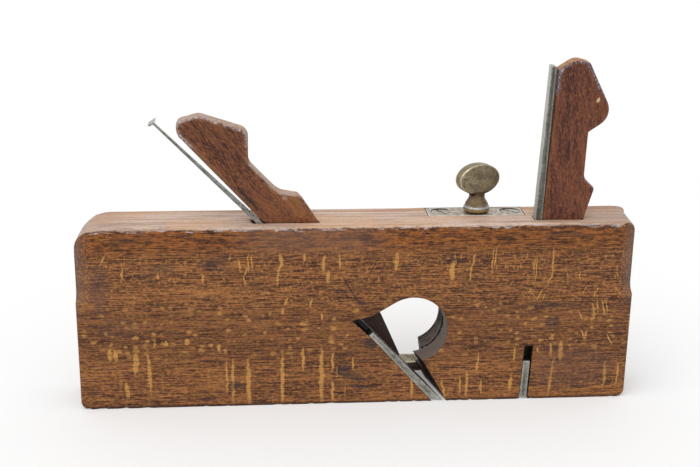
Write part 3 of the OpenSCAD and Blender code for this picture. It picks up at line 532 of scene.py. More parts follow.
        # upper ends: a grey tone with painted glints of sheen
        rubbed_and_glinting = (abs(x) + 5.0 * (fray - 0.5)).step(114.0, 121.0) * z.step(40.0, 56.0)
        grey_end_and_glints = made.mix(0.6 * dot, srgb(112, 92, 86), srgb(60, 46, 44))
        grey_end_and_glints = made.mix(0.5 * fray.step(0.54, 0.68), grey_end_and_glints, srgb(176, 164, 160))
        colour = made.mix(0.6 * rubbed_and_glinting, colour, grey_end_and_glints)
        # painted contact shade: the near edge of the sole darkened where it meets the floor
        foot = (z + 1.6 * (fray - 0.5)).step(1.7, 0.5) * y.step(-10.0, -12.0)
        return made.mix(0.75 * foot, colour, srgb(40, 30, 28))

    def tops(self, made: Shader, colour: Socket, place: tuple[Socket, Socket, Socket],
             line: Socket, fray: Socket, pore: Socket) -> Socket:
        """Paints the top pale, partly its handled wear and partly painted light from above with a painted sheen;
        the oily cheek meets it in a ragged line with painted grey glints.
        """
        x, y, z = place
        streak = made.noise(made.place(stretch=(0.04, 1.0, 1.0)), 0.4, 4.0, 0.65).step(0.44, 0.62)
        smear = made.noise(made.place(stretch=(0.15, 1.0, 1.0)), 0.6, 4.0, 0.7).step(0.5, 0.66)
        warm = made.noise(made.place(stretch=(0.5, 1.0, 1.0)), 0.06, 3.0).step(0.42, 0.6)
        top = made.mix(0.65 * streak, self.top, self.top_streak)
        top = made.mix(0.5 * smear, top, srgb(136, 110, 98))
        top = made.mix(0.5 * warm, top, srgb(208, 162, 122))
        top = made.mix(0.3 * pore, top, srgb(120, 90, 72))
        farther = (y + 5.0 * (streak - 0.5)).step(5.0, 12.0)
        top = made.mix(0.5 * farther, top, srgb(170, 124, 92))
        toeward = x.step(78.0, 112.0) + x.step(-92.0, -116.0)
        top = made.mix(0.4 * toeward, top, srgb(146, 118, 104))
        rim = abs((abs(x - 52.3) - 21.2).most(abs(y - 6.2) - 5.7))
        top = made.mix(0.8 * rim.step(0.55, 0.15), top, self.deep)
        # painted light: faces turned up take the pale top, lit from above with sheen as well as worn
        up = made.facing("Z")
        edge = (up + 0.25 * (fray - 0.5)).step(0.45, 0.7) * z.step(70.0, 76.0)
        colour = made.mix(edge, colour, top)
        # painted highlights: grey glints scattered along the rounded upper arris, with umber dents between
        arris = up.step(0.1, 0.35) * up.step(0.85, 0.6) * z.step(76.0, 79.0)
        spots = made.noise(made.place(stretch=(0.35, 1.0, 1.0)), 0.7, 3.0, 0.7)
        colour = made.mix(0.8 * arris * spots.step(0.53, 0.64), colour, self.grey)
        return made.mix(0.7 * arris * spots.step(0.48, 0.4), colour, self.umber)

    def inside(self, made: Shader, colour: Socket, place: tuple[Socket, Socket, Socket],
               fray: Socket) -> Socket:
        """Greys the bore with painted highlights on its ridges and painted shadow in its seam, and darkens the
        mortises, mouth and groove with painted shade and old dirt.
        """
        x, y, z = place
        away = ((x - self.bore_x) * (x - self.bore_x) + (z - self.bore_z) * (z - self.bore_z)) ** 0.5
        wall = away.step(16.6, 15.9) * abs(made.facing("Y")).step(0.9, 0.7)
        drift = made.noise(made.place(), 0.12, 2.0)
        # painted highlights on the gouge ridges and painted shade in the gaps between them
        ridge = abs((y.scaled(math.pi / 1.9, 7.0 * drift) + 2.0 * fray).sine())
        grey = made.mix(ridge.step(0.55, 0.95), srgb(50, 43, 38), self.bore)
        near = made.mix(0.45 + 0.5 * fray, self.dirt, srgb(120, 102, 88))
        grey = made.mix(y.step(0.0, -0.4), grey, near)
        # painted shadow: the step between the two bored halves is near black
        grey = made.mix(abs(y - self.seam_y).step(1.1, 0.5), grey, srgb(14, 12, 11))
        # painted shade and old dirt: every surface inside the stock's openings is darkened
        within = abs(y).step(12.35, 12.1) * abs(x).step(112.0, 110.0)
        within = within * z.step(1.0, 2.0) * z.step(81.9, 80.8)
        dark = made.mix(fray.step(0.4, 0.6), srgb(16, 12, 11), srgb(40, 32, 28))
        colour = made.mix(0.9 * within, colour, dark)
        return made.mix(wall * within, colour, grey)


@dataclass(frozen=True)
class WedgeBeech:
    """Dark handled beech of a wedge: close streaks up its length, a pale worn head with a painted sheen on its top
    faces and painted glints on its arris, and painted shade where it sits in the stock.
    """

    name: str
    grain: Grain
    head_z: float
    light: RenderColour = srgb(130, 80, 52)
    dark: RenderColour = srgb(64, 37, 30)
    deep: RenderColour = srgb(38, 24, 24)
    ray: RenderColour = srgb(158, 98, 54)
    pale: RenderColour = srgb(192, 176, 166)
    tan: RenderColour = srgb(176, 130, 90)
    # painted highlight colour of the rubbed arris
    glint: RenderColour = srgb(168, 148, 142)
    marks: tuple[Mark, ...] = ()

    def build(self) -> bpy.types.Material:
        """Builds the material.

        Returns:
            The material, for all faces of a wedge.
        """
        made = Shader(self.name)
        turn = self.grain.value
        x, y, z = made.coordinates()
        broad = made.noise(made.place(turn, (0.25, 1.0, 1.0)), 0.09, 3.0)
        band = made.noise(made.place(turn, (0.06, 1.0, 1.0)), 0.6, 3.0, 0.6)
        fibre = made.noise(made.place(turn, (0.22, 1.0, 1.0)), 1.9, 4.0, 0.7)
        pore = made.noise(made.place(turn, (0.4, 1.0, 1.0)), 2.4, 2.0, 0.6).step(0.57, 0.66)
        fleck = made.noise(made.place(turn, (0.35, 1.0, 1.0)), 1.5, 2.0, 0.6).step(0.57, 0.67)
        fray = made.noise(made.place(), 1.1, 3.0, 0.7)
        tone = (0.26 * broad + 0.24 * band + 0.5 * fibre).step(0.42, 0.58)
        colour = made.mix(tone, self.dark, self.light)
        colour = made.mix(0.65 * fleck, colour, self.ray)
        colour = made.mix(0.6 * pore, colour, self.deep)
        away = 1.0 - made.facing("Y").step(-0.35, -0.75)
        for mark in self.marks:
            colour = mark.lay(made, colour, x, z, fray + 9.0 * away)

        # painted shade: the part of the wedge inside the stock is darkened
        colour = made.mix(0.85 * z.step(83.5, 80.0), colour, srgb(36, 27, 25))
        # top faces: pale from wear, with a painted sheen of light from above
        up = made.facing("Z").step(0.25, 0.7) * z.step(82.6, 84.0)
        scuff = (0.5 * band + 0.5 * fray).step(0.40, 0.60)
        worn = made.mix(scuff, self.tan, self.pale)
        worn = made.mix(0.4 * pore, worn, self.dark)
        colour = made.mix(0.9 * up, colour, worn)
        arris = made.worn() * z.step(82.6, 84.0)
        colour = made.mix(0.5 * arris * (1.0 - up) * scuff, colour, self.tan)
        # painted highlights: grey glints and white sparks on the rubbed arris of the head
        high = z.step(self.head_z - 17.0, self.head_z - 11.0)
        rubbed_and_glinting = made.facing("Z").step(0.1, 0.45).most(high) * z.step(88.0, 92.0)
        rubbed_and_glinting = rubbed_and_glinting * made.worn().step(0.2, 0.7) * made.facing("Z").step(0.85, 0.7)
        colour = made.mix(0.85 * rubbed_and_glinting * fray.step(0.36, 0.54), colour, self.glint)
        colour = made.mix(0.8 * rubbed_and_glinting * fray.step(0.56, 0.66), colour, srgb(222, 218, 218))
        made.bump(0.6 * fibre - 0.8 * pore + 0.3 * fray, 0.09)
        rough = 0.44 + 0.16 * fibre
        return made.finish({"Base Color": colour, "Roughness": rough, "Specular IOR Level": 0.22})


@dataclass(frozen=True)
class WornMetal:
    """Old metal: a dull skin in patches, dark specks and brighter worn edges, with painted light and shade: darker
    sides and lighter faces above the stock, near black inside it, and shadowed gaps round screw heads; bands up a
    turned base mix patina with painted light and shade.
    """

    name: str
    body: RenderColour
    skin: RenderColour
    speck: RenderColour
    bright: RenderColour
    roughness: float
    patch_size: float = 8.0
    skin_share: float = 0.5
    relief: float = 0.05
    buried_shade: float = 0.0
    side_light_and_shade: float = 0.0
    rings: tuple[tuple[float, float, float], ...] = ()
    bands: tuple[tuple[float, float, float, RenderColour], ...] = ()

    def build(self) -> bpy.types.Material:
        """Builds the material.

        Returns:
            The material, for all faces of a piece.
        """
        made = Shader(self.name)
        cloud = made.noise(made.place(), 1.0 / self.patch_size, 5.0, 0.65)
        fine = made.noise(made.place(), 1.6, 3.0, 0.6)
        speck = made.noise(made.place(), 1.1, 3.0, 0.7).step(0.58, 0.68)
        spark = made.noise(made.place(stretch=(1.0, 1.0, 1.3)), 1.9, 2.0, 0.7).step(0.60, 0.70)
        dull = cloud.step(self.skin_share - 0.12, self.skin_share + 0.12)
        colour = made.mix(dull, self.body, self.skin)
        colour = made.mix(0.3 * fine.step(0.4, 0.65), colour, self.speck)
        colour = made.mix(0.6 * speck, colour, self.speck)
        colour = made.mix(0.4 * spark, colour, self.bright)
        edge = made.worn() * fine.step(0.35, 0.5)
        colour = made.mix(0.8 * edge, colour, self.bright)
        x, y, z = made.coordinates()
        # painted light and shade above the stock: faces turned across darker, the others lighter
        over = z.step(80.0, 83.0) * (1.0 - edge)
        side = abs(made.facing("Y")).step(0.6, 0.9)
        colour = made.mix(self.side_light_and_shade * side * over, colour, self.speck)
        colour = made.mix(self.side_light_and_shade * (1.0 - side) * over, colour, self.bright)
        # bands: painted light and shade with patina, set by height
        for low, high, share, tint in self.bands:
            height = z - 0.5 * (low + high) + 0.5 * (fine - 0.5)
            colour = made.mix(share * abs(height).step(0.5 * (high - low) + 0.3,
                                                       0.5 * (high - low) - 0.3), colour, tint)
        # painted shade: metal inside the stock is darkened nearly black
        buried_shade = z.step(82.0, 78.0) * abs(y).step(12.3, 11.4)
        colour = made.mix(self.buried_shade * buried_shade, colour, srgb(18, 17, 16))
        # painted shadow and dirt: dark crescents in the gaps round the screw heads, widest on the far side
        for place, across, reach in self.rings:
            away = ((x - place) * (x - place) + (y - across) * (y - across)) ** 0.5
            share = (y - across).step(0.0, 0.9 * reach)
            gap = (away + 1.6 * share).step(reach - 0.3, reach) * away.step(reach + 0.6, reach + 0.4)
            colour = made.mix((0.4 + 0.6 * share) * gap, colour, srgb(20, 16, 13))
        rough = self.roughness + 0.14 * dull + 0.12 * fine - 0.1 * edge
        made.bump(fine - 0.6 * speck, self.relief)
        return made.finish({"Base Color": colour, "Roughness": rough, "Metallic": 1.0 - 0.3 * dull})


@dataclass(frozen=True)
class Palette:
    """The finishes of the plane's pieces."""

    stock: StockBeech = StockBeech()
    main_wedge: WedgeBeech = WedgeBeech(
        "main_wedge_beech", Grain.UP_MAIN_WEDGE, 129.5, marks=(
            Mark(-47.1, 93.4, 7.5, 0.7, -50.7, srgb(30, 26, 32), 1.0),
            Mark(-49.0, 110.0, 8.0, 0.8, -55.0, srgb(46, 34, 34), 0.6),
            Mark(-40.0, 101.5, 1.8, 1.2, 0.0, srgb(52, 32, 26), 0.8),
            Mark(-31.6, 93.6, 1.3, 1.0, 0.0, srgb(176, 156, 142), 0.6),
            Mark(-27.0, 90.0, 7.0, 3.0, -50.0, srgb(166, 110, 62), 0.45),
        ))
    nicker_wedge: WedgeBeech = WedgeBeech(
        "nicker_wedge_beech", Grain.UP_NICKER_WEDGE, 152.5, light=srgb(124, 74, 52),
        dark=srgb(66, 36, 31), pale=srgb(196, 150, 100), tan=srgb(150, 92, 52),
        glint=srgb(112, 102, 114), marks=(
            Mark(100.3, 135.0, 1.2, 0.75, 65.0, srgb(206, 184, 136), 1.1),
            Mark(86.0, 127.0, 4.0, 0.9, 80.0, srgb(44, 28, 26), 0.5),
            Mark(88.5, 112.0, 5.0, 1.1, 78.0, srgb(46, 30, 28), 0.5),
        ))
    # irons: painted shade inside the stock, painted light and shade on their sides above it
    irons: WornMetal = WornMetal(
        "forged_steel", srgb(142, 140, 130), srgb(98, 96, 86), srgb(50, 48, 42), srgb(206, 206, 200),
        0.46, buried_shade=0.88, side_light_and_shade=0.6)
    cast: WornMetal = WornMetal(
        "cast_brass", srgb(150, 136, 108), srgb(112, 100, 80), srgb(56, 46, 36), srgb(238, 224, 190),
        0.3, patch_size=3.0, bands=(
            # painted shade under the bead, golden bead polished with a painted highlight, painted blue-white
            # reflection, then patina with painted shade in the cove and under the paddle
            (82.0, 83.3, 0.85, srgb(36, 26, 18)), (83.7, 84.3, 0.6, srgb(206, 168, 92)),
            (84.9, 85.7, 0.5, srgb(190, 192, 200)), (86.4, 90.2, 0.55, srgb(88, 62, 36)),
            (90.2, 92.0, 0.8, srgb(64, 42, 24)),
        ))
    # plate: its rings paint shadow and dirt in the gaps round the screw heads
    plate: WornMetal = WornMetal(
        "plate_brass", srgb(206, 198, 184), srgb(164, 154, 138), srgb(80, 70, 58),
        srgb(244, 240, 232), 0.4, patch_size=2.5, skin_share=0.48,
        rings=((37.3, 6.2, 4.3), (68.0, 6.2, 4.3)))


def cloud(points: np.ndarray, cell: float, seed: int) -> np.ndarray:
    """Smooth random values: lattice corners have random ones, blended by smoothstep weights.

    Args:
        points: places, one row each, in millimetres.
        cell: spacing of the lattice.
        seed: which random values.

    Returns:
        One value from -1 to 1 for each place.
    """
    table = np.random.default_rng(seed).random(4096)
    scaled = points / cell
    base = np.floor(scaled).astype(np.int64)
    part = scaled - base
    blend = part * part * (3.0 - 2.0 * part)
    total = np.zeros(len(points))
    for corner in range(8):
        offset = np.array([(corner >> axis) & 1 for axis in range(3)])
        weight = np.prod(np.where(offset == 1, blend, 1.0 - blend), axis=1)
        spot = base + offset
        key = (spot[:, 0] * 73856093) ^ (spot[:, 1] * 19349663) ^ (spot[:, 2] * 83492791)
        total += weight * table[key & 4095]
    return 2.0 * total - 1.0


def read(items: bpy.types.bpy_prop_collection, name: str, width: int, kind: type) -> np.ndarray:
    """Reads one property of all items into an array of that width and kind."""
    values = np.empty(len(items) * width, dtype=kind)
    items.foreach_get(name, values)
    return values.reshape(-1, width) if width > 1 else values


def show(piece: bpy.types.Object, body: str, slot: str, *nodes: str) -> None:
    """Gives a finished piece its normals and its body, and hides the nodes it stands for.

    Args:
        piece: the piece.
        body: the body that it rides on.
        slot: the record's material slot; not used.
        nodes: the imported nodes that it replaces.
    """
    piece.data.shade_smooth()
    piece.data.set_sharp_from_angle(angle=math.radians(34.0))
    smooth = piece.modifiers.new("even_light", "WEIGHTED_NORMAL")
    smooth.keep_sharp = True
    smooth.weight = 60
    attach(piece, body)
    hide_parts(*nodes)
    LOG.info("built %s with %d faces", piece.name, len(piece.data.polygons))


@dataclass
class WornSolid:
    """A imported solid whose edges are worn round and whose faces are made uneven."""

    node: str
    body: str
    slot: str
    widest_edge: float = 0.35
    edge_reach: float = 0.7
    unevenness: float = 0.05
    cell: float = 9.0
    spacing: tuple[float, float, float] = (3.0, 3.0, 3.0)
    seed: int = 1
    keen: tuple[float, float] = (0.0, 0.1)
    stations: tuple[tuple[int, float], ...] = ()
    station_gap: float = 0.05

    def welded(self) -> bpy.types.Mesh:
        """Copies the node's mesh with whole flat faces, which are parted at the stations only."""
        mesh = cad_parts[self.node].data.copy()
        work = bmesh.new()
        work.from_mesh(mesh)
        bmesh.ops.remove_doubles(work, verts=work.verts, dist=0.002 * MM)
        bmesh.ops.dissolve_degenerate(work, dist=0.002 * MM, edges=work.edges)
        corners = read(mesh.vertices, "co", 3, np.float32) / MM
        for axis, place in self.stations:
            if np.abs(corners[:, axis] - place).min() > self.station_gap:
                parts = list(work.faces) + list(work.edges) + list(work.verts)
                direction = Vector([float(axis == other) for other in range(3)])
                cut = bmesh.ops.bisect_plane(work, geom=parts, dist=0.01 * MM,
                                             plane_co=direction * place * MM, plane_no=direction)
                for part in cut["geom_cut"]:
                    if isinstance(part, bmesh.types.BMEdge):
                        part.seam = True
        bmesh.ops.dissolve_limit(work, angle_limit=math.radians(0.5), verts=work.verts,
                                 edges=work.edges, delimit={"SEAM"})
        work.to_mesh(mesh)
        work.free()
        return mesh

    def edge_share(self, middles: np.ndarray) -> np.ndarray:
        """The share of the widest rounding that an edge gets: alike along a chain of edges."""
        return np.full(len(middles), 0.85)

    def wear(self, points: np.ndarray, normals: np.ndarray) -> np.ndarray:
        """Moves points inwards by a soft random amount that changes over one cell."""
        depth = self.unevenness * (0.5 + 0.5 * cloud(points, self.cell, self.seed + 5))
        return points - normals * depth[:, None]

    def sharp(self, mesh: bpy.types.Mesh) -> np.ndarray:
        """Finds the edges whose two faces meet at more than 32 degrees.

        Args:
            mesh: a closed mesh.

        Returns:
            One truth value for each edge.
        """
        of_loop = read(mesh.loops, "edge_index", 1, np.int32)
        totals = read(mesh.polygons, "loop_total", 1, np.int32)
        normals = read(mesh.polygons, "normal", 3, np.float32)[np.repeat(np.arange(len(totals)), totals)]
        order = np.argsort(of_loop, kind="stable")
        turn = np.einsum("ij,ij->i", normals[order[0::2]], normals[order[1::2]])
        return turn < math.cos(math.radians(32.0))

    def rounded(self, mesh: bpy.types.Mesh) -> tuple[bpy.types.Mesh, np.ndarray]:
        """Rounds the sharp edges, each by its own share of the widest rounding.

        Args:
            mesh: the welded mesh.

        Returns:
            The rounded mesh, and places along the edges that were sharp, in millimetres.
        """
        points = read(mesh.vertices, "co", 3, np.float32) / MM
        ends = points[read(mesh.edges, "vertices", 2, np.int32)]
        sharp = self.sharp(mesh)
        middles = ends.mean(axis=1)
        risen = np.clip((middles[:, 2] - self.keen[0]) / (self.keen[1] - self.keen[0]), 0.0, 1.0)
        weights = np.where(sharp, np.clip(self.edge_share(middles), 0.0, 1.0) * (0.1 + 0.9 * risen), 0.0)
        mesh.attributes.new("bevel_weight_edge", "FLOAT", "EDGE").data.foreach_set(
            "value", weights.astype(np.float32))
        raw = bpy.data.objects.new("raw", mesh)
        bpy.context.scene.collection.objects.link(raw)
        bevel = raw.modifiers.new("worn_edges", "BEVEL")
        bevel.limit_method = "WEIGHT"
        bevel.width = self.widest_edge * MM
        bevel.segments = 3
        bevel.use_clamp_overlap = False
        evaluated = raw.evaluated_get(bpy.context.evaluated_depsgraph_get())
        made = bpy.data.meshes.new_from_object(evaluated)
        bpy.data.objects.remove(raw)
        lines = ends[sharp]
        counts = np.ceil(np.linalg.norm(lines[:, 1] - lines[:, 0], axis=1) / 0.8).astype(int) + 1
        which = np.repeat(np.arange(len(lines)), counts)
        step = np.arange(counts.sum()) - np.repeat(np.cumsum(counts) - counts, counts)
        share = (step / (counts[which] - 1))[:, None]
        return made, lines[which, 0] * (1.0 - share) + lines[which, 1] * share

    def cuts(self, points: np.ndarray) -> list[tuple[int, np.ndarray, np.ndarray]]:
        """Where to cut the faces: an axis, the places along it, and the box that they keep to.

        Args:
            points: the vertices in millimetres.

        Returns:
            The cuts, in order.
        """
        low, high = points.min(axis=0), points.max(axis=0)
        box = np.array([low - 1.0, high + 1.0])
        return [(axis, np.arange(low[axis] + gap / 2, high[axis], gap), box)
                for axis, gap in enumerate(self.spacing)]

    def sliced(self, mesh: bpy.types.Mesh) -> None:
        """Cuts the faces into small ones along planes square to the axes."""
        points = read(mesh.vertices, "co", 3, np.float32) / MM
        work = bmesh.new()
        work.from_mesh(mesh)
        bmesh.ops.triangulate(work, faces=work.faces)
        for axis, places, box in self.cuts(points):
            direction = Vector([float(axis == other) for other in range(3)])
            faces = [face for face in work.faces if self.within(face, box)]
            lines = {edge for face in faces for edge in face.edges}
            geometry = faces + list(lines) + list({vert for line in lines for vert in line.verts})
            for place in places:
                geometry = bmesh.ops.bisect_plane(
                    work, geom=geometry, dist=0.01 * MM, plane_co=direction * float(place) * MM,
                    plane_no=direction)["geom"]
        work.to_mesh(mesh)
        work.free()

    def within(self, face: bmesh.types.BMFace, box: np.ndarray) -> bool:
        """Whether a face's middle is inside a box."""
        middle = face.calc_center_median() / MM
        return all(low <= part <= high for low, part, high in zip(box[0], middle, box[1]))

    def near_edge(self, points: np.ndarray, samples: np.ndarray) -> np.ndarray:
        """How near each point is to the edges that were sharp: exp(-(distance / reach) squared).

        Args:
            points: places in millimetres.
            samples: places along the edges.

        Returns:
            One value from 0 to 1 for each point.
        """
        points, samples = points.astype(np.float64), samples.astype(np.float64)
        squares = (samples * samples).sum(axis=1)
        nearest = [((part * part).sum(axis=1)[:, None] + squares - 2.0 * part @ samples.T).min(axis=1)
                   for part in np.array_split(points, len(points) // 1500 + 1)]
        return np.exp(-np.concatenate(nearest) / self.edge_reach ** 2)

    def build(self, material: bpy.types.Material) -> None:
        """Builds the piece and hides the node that it stands for."""
        mesh, samples = self.rounded(self.welded())
        self.sliced(mesh)
        points = read(mesh.vertices, "co", 3, np.float32) / MM
        normals = read(mesh.vertices, "normal", 3, np.float32)
        arris = self.near_edge(points, samples)
        moved = self.wear(points, normals) * MM
        mesh.vertices.foreach_set("co", moved.astype(np.float32).ravel())
        mesh.attributes.new("arris", "FLOAT", "POINT").data.foreach_set("value", arris.astype(np.float32))
        mesh.materials.clear()
        mesh.materials.append(material)
        mesh.name = f"worn_{self.node}"
        piece = bpy.data.objects.new(mesh.name, mesh)
        bpy.context.scene.collection.objects.link(piece)
        show(piece, self.body, self.slot, self.node)


@dataclass
class Stock(WornSolid):
    """The stock, with a dented upper arris, chipped sole edges and gouge marks in its bore."""

    spacing: tuple[float, float, float] = (2.5, 4.0, 4.0)
    unevenness: float = 0.07
    half_length: float = 120.65
    half_width: float = 12.7
    height: float = 82.55
    chamfer: tuple[float, float] = (6.5, 4.0)
    bore_x: float = 24.0
    bore_z: float = 34.15
    bore_r: float = 14.8
    seam_y: float = 1.1
    flute: float = 1.9
    flute_depth: float = 0.5
    seam_depth: float = 0.7

    def edge_share(self, middles: np.ndarray) -> np.ndarray:
        """The outer edges are worn most, those inside the openings hardly."""
        inside = (np.abs(middles[:, 1]) < self.half_width - 0.3) & (middles[:, 2] > 1.0)
        inside &= (middles[:, 2] < self.height - 0.3) & (np.abs(middles[:, 0]) < 110.0)
        return np.where(inside, 0.08, 1.0)

    def cuts(self, points: np.ndarray) -> list[tuple[int, np.ndarray, np.ndarray]]:
        """Adds close cuts along the worn upper arris, the sole's edge and across the bore."""
        arris = np.array([[-122.0, -13.5, 76.0], [122.0, -7.5, 84.0]])
        foot = np.array([[-122.0, -13.5, -1.0], [122.0, -10.0, 3.0]])
        bore = np.array([[5.0, 0.9, 17.0], [41.0, 13.5, 51.0]])
        return super().cuts(points) + [
            (0, np.arange(-120.0, 120.0, 1.1), arris),
            (0, np.arange(-120.0, 120.0, 1.1), foot),
            (2, np.array([77.5, 79.0, 80.0]), arris),
            (1, np.array([-11.5, -10.4, -9.0]), arris),
            (1, np.arange(self.seam_y - 1.35, self.half_width, 0.45), bore),
        ]

    def reach(self, aim: np.ndarray, box: np.ndarray, radii: np.ndarray) -> np.ndarray:
        """How far a rounded corner is from the inner corner of its box.

        The outline is the box's two outer sides, joined by a quarter ellipse; a ray from the inner
        corner meets the sides at min(box / aim), or the ellipse at the larger root of its equation.

        Args:
            aim: unit directions, two positive parts in each row.
            box: the box's length and height.
            radii: the ellipse's half axes, a row for each direction.

        Returns:
            The distance for each direction.
        """
        straight = (box / np.maximum(aim, 1e-6)).min(axis=1)
        middle = box - radii
        first = ((aim / radii) ** 2).sum(axis=1)
        second = (aim * middle / radii ** 2).sum(axis=1)
        third = ((middle / radii) ** 2).sum(axis=1) - 1.0
        curved = (second + np.sqrt(np.maximum(second ** 2 - first * third, 0.0))) / first
        round_part = (straight[:, None] * aim > middle).all(axis=1)
        return np.where(round_part, curved, straight)

    def ends_worn(self, points: np.ndarray) -> np.ndarray:
        """Rounds the heel's top end wider and the toe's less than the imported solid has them.

        Each place near a top corner goes along its ray from the inner corner of a box of 17 mm, in
        proportion to new reach / old reach. The toe's far chamfer swells, from its flat u + v = 1
        to the superellipse u^n + v^n = 1, with n rising to 2 at the top.
        """
        points = points.astype(np.float64)
        box = np.array([17.0, 17.0])
        share = points[:, 1:2] / self.half_width
        for side, old, new, skew in ((-1.0, 9.0, (13.2, 11.2), 1.3), (1.0, 6.0, (4.6, 4.6), -1.2)):
            place = np.stack([side * points[:, 0] - (self.half_length - box[0]),
                              points[:, 2] - (self.height - box[1])], axis=1)
            chosen = (place > 0.0).all(axis=1)
            part = place[chosen]
            far = np.linalg.norm(part, axis=1, keepdims=True)
            aim = part / np.maximum(far, 1e-6)
            before = self.reach(aim, box, np.full(part.shape, old))[:, None]
            after = self.reach(aim, box, np.array(new) + skew * share[chosen])[:, None]
            fade = np.clip(far / before, 0.0, 1.0) ** 3
            part = part * (1.0 + (after / before - 1.0) * fade)
            points[chosen, 0] = side * (part[:, 0] + self.half_length - box[0])
            points[chosen, 2] = part[:, 1] + self.height - box[1]
        along = np.maximum((points[:, 0] - self.half_length) / self.chamfer[0] + 1.0, 0.0)
        across = np.maximum((points[:, 1] - self.half_width) / self.chamfer[1] + 1.0, 0.0)
        power = 1.0 + np.clip((points[:, 2] - 56.0) / 16.0, 0.0, 1.0)
        whole = (along ** power + across ** power) ** (1.0 / power)
        swell = np.where((along > 0.0) & (across > 0.0), (along + across) / np.maximum(whole, 1e-6) - 1.0, 0.0)
        points[:, 0] += swell * along * self.chamfer[0]
        points[:, 1] += swell * across * self.chamfer[1]
        points[:, 0] = np.minimum(points[:, 0], self.half_length)
        return points

    def wear(self, points: np.ndarray, normals: np.ndarray) -> np.ndarray:
        """Moves points by hand wear, knocks and gouge marks.

        The arris sinks towards the middle of the stock by a + b * peaks over its length, fading as
        exp(-(distance / 2.4) squared); the sole's edge has smaller chips. The left half of the bore
        is fluted: its radius grows by depth * |sin(pi * place across / flute)|, bent by noise.
        """
        points = self.ends_worn(points)
        moved = super().wear(points, normals)
        x, y, z = points.T
        line = np.stack([x, 0.0 * x, 0.0 * x], axis=1)
        peaks = np.clip(cloud(line, 3.2, self.seed + 1) - 0.35, 0.0, 1.0)
        sunk = 0.16 * (1.0 + cloud(line, 12.0, self.seed + 2)) + 0.75 * peaks
        fade = np.exp(-(((y + self.half_width) ** 2 + (z - self.height) ** 2) / 2.4 ** 2))
        fade *= (y < 0.0)
        moved += (fade * sunk)[:, None] * np.array([0.0, 0.55, -0.75])
        chips = 0.55 * np.clip(cloud(line, 2.3, self.seed + 3) - 0.3, 0.0, 1.0)
        low = np.exp(-(((np.abs(y) - self.half_width) ** 2 + z ** 2) / 1.3 ** 2))
        moved += (low * chips)[:, None] * np.stack([0.0 * y, -np.sign(y), 0.0 * y + 1.0], axis=1)
        out = np.stack([x - self.bore_x, 0.0 * y, z - self.bore_z], axis=1)
        away = np.linalg.norm(out, axis=1)
        drift = 0.5 * cloud(points * np.array([1.0, 0.2, 1.0]), 7.0, self.seed + 4)
        inside = (np.abs(away - self.bore_r) < 0.5) & (y > self.seam_y) & (np.abs(normals[:, 1]) < 0.5)
        inside &= y < self.half_width - 0.4
        depth = self.flute_depth * np.abs(np.sin(math.pi * (y / self.flute + drift)))
        seam = (np.abs(away - self.bore_r) < 0.7) & (np.abs(y - self.seam_y + 0.4) < 0.55)
        depth = np.where(seam, self.seam_depth, inside * depth)
        return moved + (depth / np.maximum(away, 1.0))[:, None] * out


@dataclass
class Wedge(WornSolid):
    """A wedge, whose handled head is worn wide on its near arris."""

    spacing: tuple[float, float, float] = (2.2, 2.2, 2.2)
    unevenness: float = 0.1
    edge_reach: float = 1.4
    near_y: float = -6.75

    def edge_share(self, middles: np.ndarray) -> np.ndarray:
        """The near arris is worn most."""
        return np.where(middles[:, 1] < self.near_y + 0.5, 1.0, 0.5)


